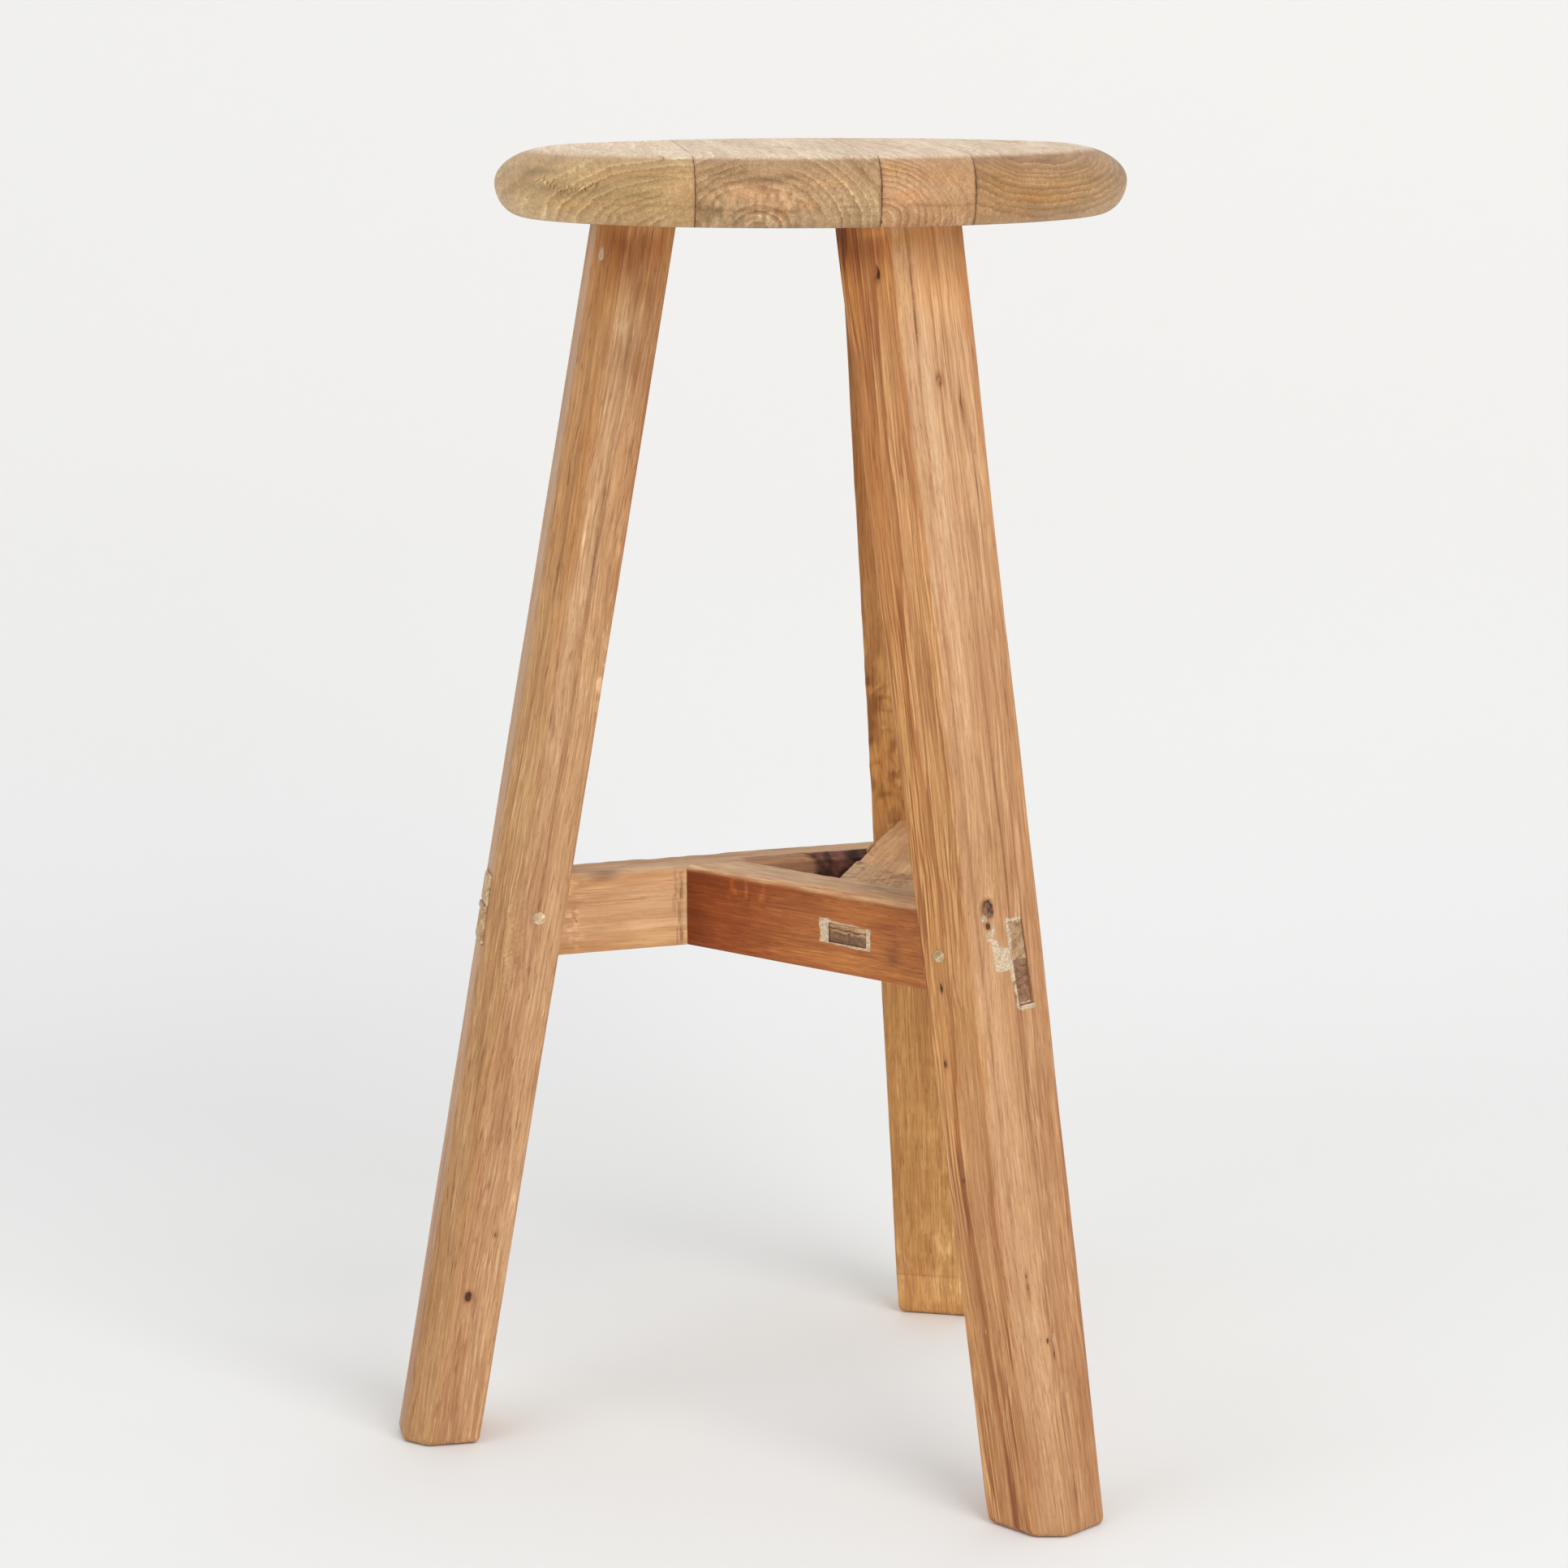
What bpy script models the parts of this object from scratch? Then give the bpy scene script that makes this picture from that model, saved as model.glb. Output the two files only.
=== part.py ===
"""Rustic three-legged stool in reclaimed elm.

A round seat of four edge-glued boards stands on three splayed legs. Three
stretchers form a pinwheel: each one is tenoned through its own leg and, at its
inner end, through the next stretcher. Through tenons are wedged, and a peg
locks each stretcher in its leg.

Units are metres, +Z is up, the origin is on the floor in the middle of the
stool's footprint box. The right and left legs stand towards -Y and -X, the
back leg towards +Y. Headings (degrees anticlockwise from +X) and offsets are
measured from the seat's axis, which stands at SEAT_AXIS.
"""
import math

import bmesh
import bpy
from mathutils import Matrix, Vector

UP = Vector((0, 0, 1))

# ---------------------------------------------------------------- dimensions
GAP = 0.0003                    # clearance between neighbouring pieces
HEIGHT = 0.651                  # floor to the top of the seat

# Seat
SEAT_AXIS = (0.0296, -0.0050)   # the three feet don't spread evenly round it
SEAT_DIAMETER = 0.310
SEAT_RADIUS = SEAT_DIAMETER / 2
SEAT_THICKNESS = 0.033
SEAT_UNDERSIDE = HEIGHT - SEAT_THICKNESS
SEAT_MIDDLE = HEIGHT - SEAT_THICKNESS / 2
SEAT_TOP_ROUND = 0.0225         # how far the bullnose reaches in from the edge, above
SEAT_BOTTOM_ROUND = 0.0140      # and below
SEAT_ROUND_STEPS = 6            # flats in each half of the bullnose
SEAT_STEPS = 84                 # flats round the rim
SEAT_INNER_RING = SEAT_RADIUS * 0.45        # extra ring of points on the flat faces

BOARD_TURN = math.radians(4.3)              # board joints run front to back, turned a little
BOARD_JOINTS = (-0.0636, 0.0211, 0.0658)    # offsets of the three glue lines
SLAB_SIDE_OVERRUN = 0.010       # board cutters stand past the rim at the sides
SLAB_END_OVERRUN = 0.020        # and at the ends

DOWEL_RADIUS = 0.004
DOWEL_LENGTH = 0.040
DOWEL_SPACING = (0.090, 0.108, 0.095)       # dowels sit this far each way along a joint
DOWEL_SIDES = 16

# Legs
LEG_TENON_RADIUS = 0.013
LEG_TENON_LENGTH = 0.022
LEG_TENON_ROOT = 0.012          # part of the tenon's rod buried in the leg
LEG_TENON_SIDES = 28
LEG_OUTER_ROUND = 0.0095        # worn outer arrises
LEG_INNER_ROUND = 0.0025
FOOT_ROUND = 0.0025
LONG_EDGE_RISE = 0.3            # only a leg's long edges rise more than this
ARRIS_ANGLE = 1.0               # radians; a sharper turn is still unrounded

# Each leg: radius and angle of its centre under the seat, then at the floor,
# the heading its outer face looks to, and its section (depth, width) at both ends.
LEGS = {
    "leg_left": dict(top=(0.0880, 188.1), foot=(0.1968, 189.8), face=191.2,
                     top_section=(0.0370, 0.0438), foot_section=(0.0376, 0.0430)),
    "leg_right": dict(top=(0.0790, -57.0), foot=(0.1980, -54.8), face=-44.4,
                      top_section=(0.0430, 0.0470), foot_section=(0.0405, 0.0445)),
    "leg_back": dict(top=(0.0885, 61.8), foot=(0.1908, 67.4), face=76.4,
                     top_section=(0.0400, 0.0460), foot_section=(0.0380, 0.0442)),
}
DEPTH, WIDTH = 0, 1             # places in a leg's section

# Stretchers
STRETCHER_TOP = 0.2915
STRETCHER_BOTTOM = 0.2490
STRETCHER_ROUND = 0.0022
BAR_HUB_OVERRUN = 0.010         # bars are made this much too long, then cut to their shoulders
BAR_LEG_OVERRUN = 0.002

# Each stretcher: heading towards its own leg, offset of its inner face from the
# centre, width at the hub and at the leg, and the two sides of its through
# tenons as offsets from the centre. The leg tenon also has its bottom and top
# heights and how far it stands proud of the leg.
STRETCHERS = {
    "stretcher_left": dict(leg="leg_left", into="stretcher_back", heading=199.66, offset=0.0179,
                           hub_width=0.0241, leg_width=0.0241, leg_tenon=(0.0240, 0.0360),
                           leg_tenon_height=(0.2620, 0.2898), proud=0.0016,
                           hub_tenon=(0.0205, 0.0390)),
    "stretcher_right": dict(leg="leg_right", into="stretcher_left", heading=-39.98, offset=0.0179,
                            hub_width=0.0263, leg_width=0.0263, leg_tenon=(0.0279, 0.0402),
                            leg_tenon_height=(0.2505, 0.2898), proud=0.0004,
                            hub_tenon=(0.0210, 0.0410)),
    "stretcher_back": dict(leg="leg_back", into="stretcher_right", heading=77.68, offset=0.0193,
                           hub_width=0.0465, leg_width=0.0340, leg_tenon=(0.0270, 0.0390),
                           leg_tenon_height=(0.2570, 0.2840), proud=0.0004,
                           hub_tenon=(0.0210, 0.0465)),
}
HUB_TENON_HEIGHT = (0.2630, 0.2778)
HUB_TENON_PROUD = 0.0004
HUB_TENON_ROOT = 0.012          # part of the tenon's block buried in its own stretcher
HUB_TENON_OVERRUN = 0.020       # past the stretcher it goes through, before trimming
HUB_MORTISE_LEAD = 0.0115       # mortise cutter's reach back past the shoulder
LEG_TENON_REACH = 0.045         # tenon block each way from the leg's centre
LEG_MORTISE_REACH = 0.060       # mortise cutter each way from the leg's centre
TRIM_BLOCK = (0.09, 0.16, 0.30)

# Wedges
WEDGE_LENGTH = 0.016            # from the thin end to the face the tenon comes through
WEDGE_RECESS = 0.001            # driven end stops short of that face
WEDGE_THICK = 0.0028            # at the driven end
WEDGE_THIN = 0.0010
KERF_OVERRUN = 0.012            # kerf cutter runs out past the face
KERF_EXTRA_THICK = 0.0018       # and widens accordingly

# Pegs: how far along the stretcher from the centre, and which face of the leg
# they are driven in from (+1 is the side the stretcher lies on).
PEG_RADIUS = 0.0034
PEG_LENGTH = 0.036
PEG_HEIGHT = 0.2724
PEG_PROUD = 0.0004
PEG_HOLE_LEAD = 0.002           # hole cutter starts outside the peg's head
PEG_SIDES = 20
PEGS = {
    "peg_left": dict(stretcher="stretcher_left", along=0.1396, side=-1),
    "peg_right": dict(stretcher="stretcher_right", along=0.1318, side=1),
    "peg_back": dict(stretcher="stretcher_back", along=0.1300, side=1),
}

# Faces meeting at less than this many degrees are shaded smooth
ROD_SMOOTH = 40
TIMBER_SMOOTH = 25

# ---------------------------------------------------------------- scene setup
for old in list(bpy.data.objects):
    bpy.data.objects.remove(old, do_unlink=True)

stool = bpy.data.collections.new("three_legged_stool")
tools = bpy.data.collections.new("stool_cutters")
bpy.context.scene.collection.children.link(stool)
bpy.context.scene.collection.children.link(tools)

root = bpy.data.objects.new("stool_root", None)
root.location = (*SEAT_AXIS, 0.0)
stool.objects.link(root)


# ---------------------------------------------------------------- materials
def material(name, colour, roughness):
    mat = bpy.data.materials.new(name)
    mat.use_nodes = True
    shader = mat.node_tree.nodes["Principled BSDF"]
    shader.inputs["Base Color"].default_value = (*colour, 1.0)
    shader.inputs["Roughness"].default_value = roughness
    shader.inputs["Metallic"].default_value = 0.0
    return mat


elm_seat = material("elm_seat", colour=(0.49, 0.31, 0.155), roughness=0.50)
elm_legs = material("elm_legs", colour=(0.50, 0.24, 0.09), roughness=0.48)
elm_stretchers = material("elm_stretchers", colour=(0.45, 0.20, 0.075), roughness=0.55)
hardwood_pegs = material("hardwood_pegs", colour=(0.52, 0.38, 0.23), roughness=0.60)
hardwood_wedges = material("hardwood_wedges", colour=(0.26, 0.14, 0.07), roughness=0.62)


# ---------------------------------------------------------------- objects
def adopt(obj, collection):
    """Moves an object into one of the two collections, under the root."""
    for current in list(obj.users_collection):
        current.objects.unlink(obj)
    collection.objects.link(obj)
    obj.parent = root
    return obj


def part(obj, mat, smooth=None):
    """Makes an object a visible piece of the stool."""
    adopt(obj, stool)
    obj.data.materials.append(mat)
    if smooth is not None:
        obj.data.shade_smooth()
        obj.data.set_sharp_from_angle(angle=math.radians(smooth))
    return obj


def cutter(obj):
    """Makes an object a hidden tool for booleans."""
    adopt(obj, tools)
    obj.hide_render = True
    obj.display_type = 'WIRE'
    return obj


def boolean(obj, other, operation):
    mod = obj.modifiers.new(f"{operation.lower()}_{other.name}"[:60], 'BOOLEAN')
    mod.operation = operation
    mod.solver = 'EXACT'
    mod.object = other


def mesh_object(name, mesh):
    obj = bpy.data.objects.new(name, mesh)
    bpy.context.scene.collection.objects.link(obj)
    return obj


def shaped_cube(place_corner):
    """A bmesh cube whose corners go where place_corner(x, y, z) says, each being -1 or 1."""
    bm = bmesh.new()
    bmesh.ops.create_cube(bm, size=2.0)
    for vert in bm.verts:
        vert.co = place_corner(*vert.co)
    bm.normal_update()
    bmesh.ops.recalc_face_normals(bm, faces=bm.faces)
    return bm


def round_edges(bm, edges, offset, segments):
    bmesh.ops.bevel(bm, geom=edges, offset=offset, segments=segments, profile=0.5,
                    affect='EDGES', offset_type='OFFSET')


def bmesh_object(name, bm):
    bmesh.ops.recalc_face_normals(bm, faces=bm.faces)
    mesh = bpy.data.meshes.new(name)
    bm.to_mesh(mesh)
    bm.free()
    return mesh_object(name, mesh)


def primitive(name, local, matrix):
    """Names the primitive just added, transforms its mesh and places it."""
    obj = bpy.context.object
    obj.name = name
    obj.data.name = name
    obj.data.transform(local)
    obj.matrix_world = matrix
    return obj


def block(name, size, matrix):
    """A box of the given size about its own centre, placed by a matrix."""
    bpy.ops.mesh.primitive_cube_add(size=1.0)
    return primitive(name, Matrix.Diagonal((*size, 1.0)), matrix)


def rod(name, radius, length, matrix, sides):
    """A cylinder along the matrix's Z, from its origin."""
    bpy.ops.mesh.primitive_cylinder_add(vertices=sides, radius=radius, depth=length)
    return primitive(name, Matrix.Translation((0, 0, length / 2)), matrix)


# ---------------------------------------------------------------- directions
def heading(degrees):
    """Unit vector along a heading, and the one square to it on its right."""
    angle = math.radians(degrees)
    along = Vector((math.cos(angle), math.sin(angle), 0.0))
    return along, Vector((along.y, -along.x, 0.0))


def polar(place, z):
    radius, degrees = place
    angle = math.radians(degrees)
    return Vector((radius * math.cos(angle), radius * math.sin(angle), z))


def frame_matrix(origin, x_axis, z_axis):
    """Matrix whose X and Z follow the given directions, Y completing them."""
    x = x_axis.normalized()
    z = (z_axis - z_axis.dot(x) * x).normalized()
    y = z.cross(x)
    matrix = Matrix((x, y, z)).transposed().to_4x4()
    matrix.translation = origin
    return matrix


def distance_to_plane(start, direction, point, normal):
    """How far along a direction a line meets the plane through a point."""
    return (point - start).dot(normal) / direction.dot(normal)


# ---------------------------------------------------------------- legs
def leg_blank(name, spec, grow=0.0, rounds=True):
    """A tapered, splayed post with horizontal ends."""
    face, side = heading(spec["face"])

    def corner(x, y, z):
        if z > 0:
            centre, section = polar(spec["top"], SEAT_UNDERSIDE - GAP), spec["top_section"]
        else:
            centre, section = polar(spec["foot"], 0.0), spec["foot_section"]
        half_depth = section[DEPTH] / 2 + grow
        half_width = section[WIDTH] / 2 + grow
        return centre + face * (half_depth * x) - side * (half_width * y)

    def is_long(edge):
        return abs(edge.verts[0].co.z - edge.verts[1].co.z) > LONG_EDGE_RISE

    def is_outer(edge):
        middle = (edge.verts[0].co + edge.verts[1].co) / 2
        centre = (polar(spec["top"], 0) + polar(spec["foot"], 0)) / 2
        return (middle - centre).dot(face) > 0

    bm = shaped_cube(corner)
    if rounds:
        # worn edges: wide on the two outer arrises, slight on the inner ones and the sole
        outer = [e for e in bm.edges if is_long(e) and is_outer(e)]
        round_edges(bm, outer, LEG_OUTER_ROUND, segments=3)
        inner = [e for e in bm.edges
                 if is_long(e) and not is_outer(e) and e.calc_face_angle(0.0) > ARRIS_ANGLE]
        round_edges(bm, inner, LEG_INNER_ROUND, segments=1)
        sole = [e for e in bm.edges if all(vert.co.z < 1e-6 for vert in e.verts)]
        round_edges(bm, sole, FOOT_ROUND, segments=1)
    return bmesh_object(name, bm)


def leg_tenon_rod(name, spec, clearance=0.0):
    """The round tenon on a leg's top, or with a clearance, its socket's cutter."""
    axis = (polar(spec["top"], SEAT_UNDERSIDE) - polar(spec["foot"], 0.0)).normalized()
    base = polar(spec["top"], SEAT_UNDERSIDE) - axis * LEG_TENON_ROOT
    matrix = frame_matrix(base, Vector((axis.z, 0, -axis.x)), axis)
    length = LEG_TENON_LENGTH + LEG_TENON_ROOT + clearance
    return cutter(rod(name, LEG_TENON_RADIUS + clearance, length, matrix, LEG_TENON_SIDES))


def leg_centre(spec, z):
    return polar(spec["top"], z).lerp(polar(spec["foot"], z), 1.0 - z / SEAT_UNDERSIDE)


def leg_face_plane(spec, direction, measure):
    """Point on, and outward normal of, the long face that looks in a direction.

    The measure is DEPTH for the outer face and WIDTH for the side faces.
    """
    top = polar(spec["top"], SEAT_UNDERSIDE) + direction * (spec["top_section"][measure] / 2)
    foot = polar(spec["foot"], 0.0) + direction * (spec["foot_section"][measure] / 2)
    normal = UP.cross(direction).cross((top - foot).normalized()).normalized()
    return (top + foot) / 2, normal


legs, leg_shells = {}, {}
for name, spec in LEGS.items():
    legs[name] = part(leg_blank(name, spec), elm_legs, TIMBER_SMOOTH)
    leg_shells[name] = cutter(leg_blank("clear_of_" + name, spec, grow=GAP, rounds=False))
    boolean(legs[name], leg_tenon_rod("tenon_" + name, spec), 'UNION')

# ---------------------------------------------------------------- seat
seat_turn = Matrix.Rotation(BOARD_TURN, 4, 'Z')


def seat_profile():
    """Half section of the bullnosed seat, from the axis on top to the axis below."""
    points = [(0.0, HEIGHT), (SEAT_INNER_RING, HEIGHT)]
    for step in range(SEAT_ROUND_STEPS, -SEAT_ROUND_STEPS - 1, -1):
        angle = math.pi / 2 * step / SEAT_ROUND_STEPS
        reach = SEAT_TOP_ROUND if step >= 0 else SEAT_BOTTOM_ROUND
        points.append((SEAT_RADIUS - reach * (1 - math.cos(angle)),
                       SEAT_MIDDLE + SEAT_THICKNESS / 2 * math.sin(angle)))
    return points + [(SEAT_INNER_RING, SEAT_UNDERSIDE), (0.0, SEAT_UNDERSIDE)]


def seat_disc(name):
    points = seat_profile()
    mesh = bpy.data.meshes.new(name)
    mesh.from_pydata([(radius, 0.0, z) for radius, z in points],
                     [(i, i + 1) for i in range(len(points) - 1)], [])
    obj = mesh_object(name, mesh)
    turn = obj.modifiers.new("turned", 'SCREW')
    turn.axis = 'Z'
    turn.angle = math.tau
    turn.steps = turn.render_steps = SEAT_STEPS
    turn.use_merge_vertices = True
    turn.merge_threshold = 0.00001
    turn.use_smooth_shade = True
    return obj


def seat_board(number, low, high):
    """The strip of the seat disc between two offsets."""
    board = part(seat_disc(f"seat_board_{number}"), elm_seat)
    size = (high - low, 2 * (SEAT_RADIUS + SLAB_END_OVERRUN), 2 * SEAT_THICKNESS)
    matrix = seat_turn @ Matrix.Translation(((low + high) / 2, 0, SEAT_MIDDLE))
    boolean(board, cutter(block(f"slab_{number}", size, matrix)), 'INTERSECT')
    return board


def seat_dowel(number, joint, along, joined):
    """A dowel across a glue line, and its hole in the two boards it joins."""
    start = Vector((joint - DOWEL_LENGTH / 2, along, SEAT_MIDDLE))
    matrix = seat_turn @ Matrix.Translation(start) @ Matrix.Rotation(math.pi / 2, 4, 'Y')
    dowel = rod(f"seat_dowel_{number}", DOWEL_RADIUS, DOWEL_LENGTH, matrix, DOWEL_SIDES)
    part(dowel, hardwood_pegs, ROD_SMOOTH)
    hole = cutter(rod(f"dowel_hole_{number}", DOWEL_RADIUS + GAP, DOWEL_LENGTH + 2 * GAP,
                      matrix @ Matrix.Translation((0, 0, -GAP)), DOWEL_SIDES))
    for board in joined:
        boolean(board, hole, 'DIFFERENCE')


rim = SEAT_RADIUS + SLAB_SIDE_OVERRUN
board_edges = (-rim, *BOARD_JOINTS, rim)
boards = [seat_board(i + 1, board_edges[i] + GAP / 2, board_edges[i + 1] - GAP / 2)
          for i in range(len(board_edges) - 1)]

for i, (joint, spacing) in enumerate(zip(BOARD_JOINTS, DOWEL_SPACING)):
    seat_dowel(2 * i + 1, joint, -spacing, boards[i:i + 2])
    seat_dowel(2 * i + 2, joint, spacing, boards[i:i + 2])

# blind mortises for the leg tenons
for name, spec in LEGS.items():
    centre = seat_turn.inverted() @ polar(spec["top"], 0)
    board = boards[sum(centre.x > joint for joint in BOARD_JOINTS)]
    boolean(board, leg_tenon_rod("socket_" + name, spec, clearance=GAP), 'DIFFERENCE')


# ---------------------------------------------------------------- stretchers
def stretcher_span(spec):
    """Least and greatest start of the body at the hub, and its own leg's centre, along it."""
    along, across = heading(spec["heading"])
    other = STRETCHERS[spec["into"]]
    _, other_across = heading(other["heading"])
    # the hub end lies on the next stretcher's inner face
    starts = []
    for width in (0.0, spec["hub_width"]):
        side = across * (spec["offset"] + width)
        starts.append((other["offset"] - other_across.dot(side)) / other_across.dot(along))
    middle = (STRETCHER_TOP + STRETCHER_BOTTOM) / 2
    return min(starts), max(starts), along.dot(leg_centre(LEGS[spec["leg"]], middle))


def bar_corner(spec, at_leg, outer):
    """A corner of the overlong bar in plan."""
    along, across = heading(spec["heading"])
    start, _, reach = stretcher_span(spec)
    distance = reach + BAR_LEG_OVERRUN if at_leg else start - BAR_HUB_OVERRUN
    width = spec["leg_width"] if at_leg else spec["hub_width"]
    return along * distance + across * (spec["offset"] + (width if outer else 0.0))


def stretcher_body(name, spec):
    """A squared bar along its heading, tapered in width if hub and leg widths differ."""
    along, _ = heading(spec["heading"])

    def corner(x, y, z):
        height = STRETCHER_TOP if z > 0 else STRETCHER_BOTTOM
        return bar_corner(spec, at_leg=x > 0, outer=y > 0) + UP * height

    bm = shaped_cube(corner)
    long_edges = [e for e in bm.edges
                  if abs((e.verts[0].co - e.verts[1].co).normalized().dot(along)) > 0.9]
    round_edges(bm, long_edges, STRETCHER_ROUND, segments=2)
    return bmesh_object(name, bm)


def bar_cutter(name, spec, start, end, sides, heights, clearance=0.0):
    """A box cutter along a stretcher, with clearance on its sides, top and bottom."""
    along, across = heading(spec["heading"])
    near, far = sides[0] - clearance, sides[1] + clearance
    bottom, top = heights[0] - clearance, heights[1] + clearance
    centre = along * (start + end) / 2 + across * (near + far) / 2 + UP * ((bottom + top) / 2)
    size = (end - start, far - near, top - bottom)
    return cutter(block(name, size, frame_matrix(centre, along, UP)))


def outside_block(name, point, normal, proud):
    """A large block that trims what stands more than `proud` past a plane."""
    centre = point + normal * (proud + TRIM_BLOCK[0] / 2)
    return cutter(block(name, TRIM_BLOCK, frame_matrix(centre, normal, UP)))


def wedge(name, length, wide, thick, thin, matrix, grow=0.0):
    """A tapered wedge along the matrix's X, thick at its driven end."""
    def corner(x, y, z):
        half = (thick if x > 0 else thin) / 2 + grow
        return Vector((length + grow if x > 0 else -grow, (wide / 2 + grow) * y, half * z))

    obj = bmesh_object(name, shaped_cube(corner))
    obj.matrix_world = matrix
    return obj


def wedge_and_kerf(bar, suffix, tenon_width, matrix):
    """A wedge in a tenon's end, and the kerf it sits in."""
    part(wedge("wedge_" + suffix, WEDGE_LENGTH - WEDGE_RECESS, tenon_width - 2 * GAP,
               WEDGE_THICK, WEDGE_THIN, matrix), hardwood_wedges)
    kerf = wedge("kerf_" + suffix, WEDGE_LENGTH + KERF_OVERRUN, tenon_width + 2 * GAP,
                 WEDGE_THICK + KERF_EXTRA_THICK, WEDGE_THIN, matrix, grow=GAP)
    boolean(bar, cutter(kerf), 'DIFFERENCE')


def fit_stretcher(name, spec):
    """Cuts a stretcher's shoulders, and joins it to its leg and the next stretcher."""
    bar, leg, leg_spec = bars[name], legs[spec["leg"]], LEGS[spec["leg"]]
    other = STRETCHERS[spec["into"]]
    along, across = heading(spec["heading"])
    _, other_across = heading(other["heading"])
    start, far_start, reach = stretcher_span(spec)
    short = name.split("_")[1]
    hub_height = UP * (sum(HUB_TENON_HEIGHT) / 2)

    # shoulders: clear of the leg at one end and of the next stretcher at the other
    boolean(bar, leg_shells[spec["leg"]], 'DIFFERENCE')
    hub_point = (along * ((start + far_start) / 2)
                 + across * (spec["offset"] + spec["hub_width"] / 2) + hub_height)
    boolean(bar, outside_block("shoulder_" + short, hub_point, other_across, -GAP), 'DIFFERENCE')

    # through tenon into the leg, trimmed near the leg's outer face
    sides, heights = spec["leg_tenon"], spec["leg_tenon_height"]
    tenon = bar_cutter("leg_tenon_" + short, spec, reach - LEG_TENON_REACH,
                       reach + LEG_TENON_REACH, sides, heights)
    mortise = bar_cutter("leg_mortise_" + short, spec, reach - LEG_MORTISE_REACH,
                         reach + LEG_MORTISE_REACH, sides, heights, clearance=GAP)
    boolean(bar, tenon, 'UNION')
    boolean(leg, mortise, 'DIFFERENCE')
    face, _ = heading(leg_spec["face"])
    point, normal = leg_face_plane(leg_spec, face, DEPTH)
    boolean(bar, outside_block("trim_leg_" + short, point, normal, spec["proud"]), 'DIFFERENCE')

    # through tenon into the next stretcher
    hub_sides = spec["hub_tenon"]
    other_width = max(other["hub_width"], other["leg_width"])
    tenon_end = start - (other_width + HUB_TENON_OVERRUN) / abs(other_across.dot(along))
    hub_tenon = bar_cutter("hub_tenon_" + short, spec, tenon_end, far_start + HUB_TENON_ROOT,
                           hub_sides, HUB_TENON_HEIGHT)
    hub_mortise = bar_cutter("hub_mortise_" + short, spec, tenon_end,
                             far_start + HUB_MORTISE_LEAD,
                             hub_sides, HUB_TENON_HEIGHT, clearance=GAP)
    boolean(bar, hub_tenon, 'UNION')
    boolean(bars[spec["into"]], hub_mortise, 'DIFFERENCE')

    # its end is trimmed near the outer face of the stretcher it passes through
    outer_start = bar_corner(other, at_leg=False, outer=True)
    outer_line = (bar_corner(other, at_leg=True, outer=True) - outer_start).normalized()
    outward = Vector((outer_line.y, -outer_line.x, 0.0))
    centre = across * sum(hub_sides) / 2 + hub_height
    hub_exit = centre + along * distance_to_plane(centre, along, outer_start, outward)
    boolean(bar, outside_block("trim_hub_" + short, hub_exit, outward, HUB_TENON_PROUD),
            'DIFFERENCE')

    # wedge lying flat across the leg tenon, driven from the outside
    centre = across * sum(sides) / 2 + UP * (sum(heights) / 2)
    leg_exit = distance_to_plane(centre, along, point, normal)
    matrix = frame_matrix(centre + along * (leg_exit - WEDGE_LENGTH), along, UP)
    wedge_and_kerf(bar, "leg_" + short, sides[1] - sides[0], matrix)

    # wedge across the hub tenon, upright
    matrix = frame_matrix(hub_exit + along * WEDGE_LENGTH, -along, across)
    wedge_and_kerf(bar, "hub_" + short, HUB_TENON_HEIGHT[1] - HUB_TENON_HEIGHT[0], matrix)


bars = {name: part(stretcher_body(name, spec), elm_stretchers, TIMBER_SMOOTH)
        for name, spec in STRETCHERS.items()}
for name, spec in STRETCHERS.items():
    fit_stretcher(name, spec)


# ---------------------------------------------------------------- pegs
def peg_and_hole(name, spec):
    """A peg through a leg and its stretcher's tenon, and the hole in both."""
    bar_spec = STRETCHERS[spec["stretcher"]]
    leg_spec = LEGS[bar_spec["leg"]]
    _, side = heading(leg_spec["face"])
    outward = side * spec["side"]
    point, normal = leg_face_plane(leg_spec, outward, WIDTH)
    along, across = heading(bar_spec["heading"])
    through = (along * spec["along"] + across * sum(bar_spec["leg_tenon"]) / 2
               + UP * PEG_HEIGHT)
    depth = distance_to_plane(through, outward, point, normal)
    matrix = frame_matrix(through + outward * (depth + PEG_PROUD), UP, -outward)
    part(rod(name, PEG_RADIUS, PEG_LENGTH, matrix, PEG_SIDES), hardwood_pegs, ROD_SMOOTH)
    hole = cutter(rod("hole_" + name, PEG_RADIUS + GAP, PEG_LENGTH + PEG_HOLE_LEAD + GAP,
                      matrix @ Matrix.Translation((0, 0, -PEG_HOLE_LEAD)), PEG_SIDES))
    boolean(legs[bar_spec["leg"]], hole, 'DIFFERENCE')
    boolean(bars[spec["stretcher"]], hole, 'DIFFERENCE')


for name, spec in PEGS.items():
    peg_and_hole(name, spec)

bpy.context.view_layer.update()
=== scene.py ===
import math

import bpy
import numpy as np
from mathutils import Matrix, Vector


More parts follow.
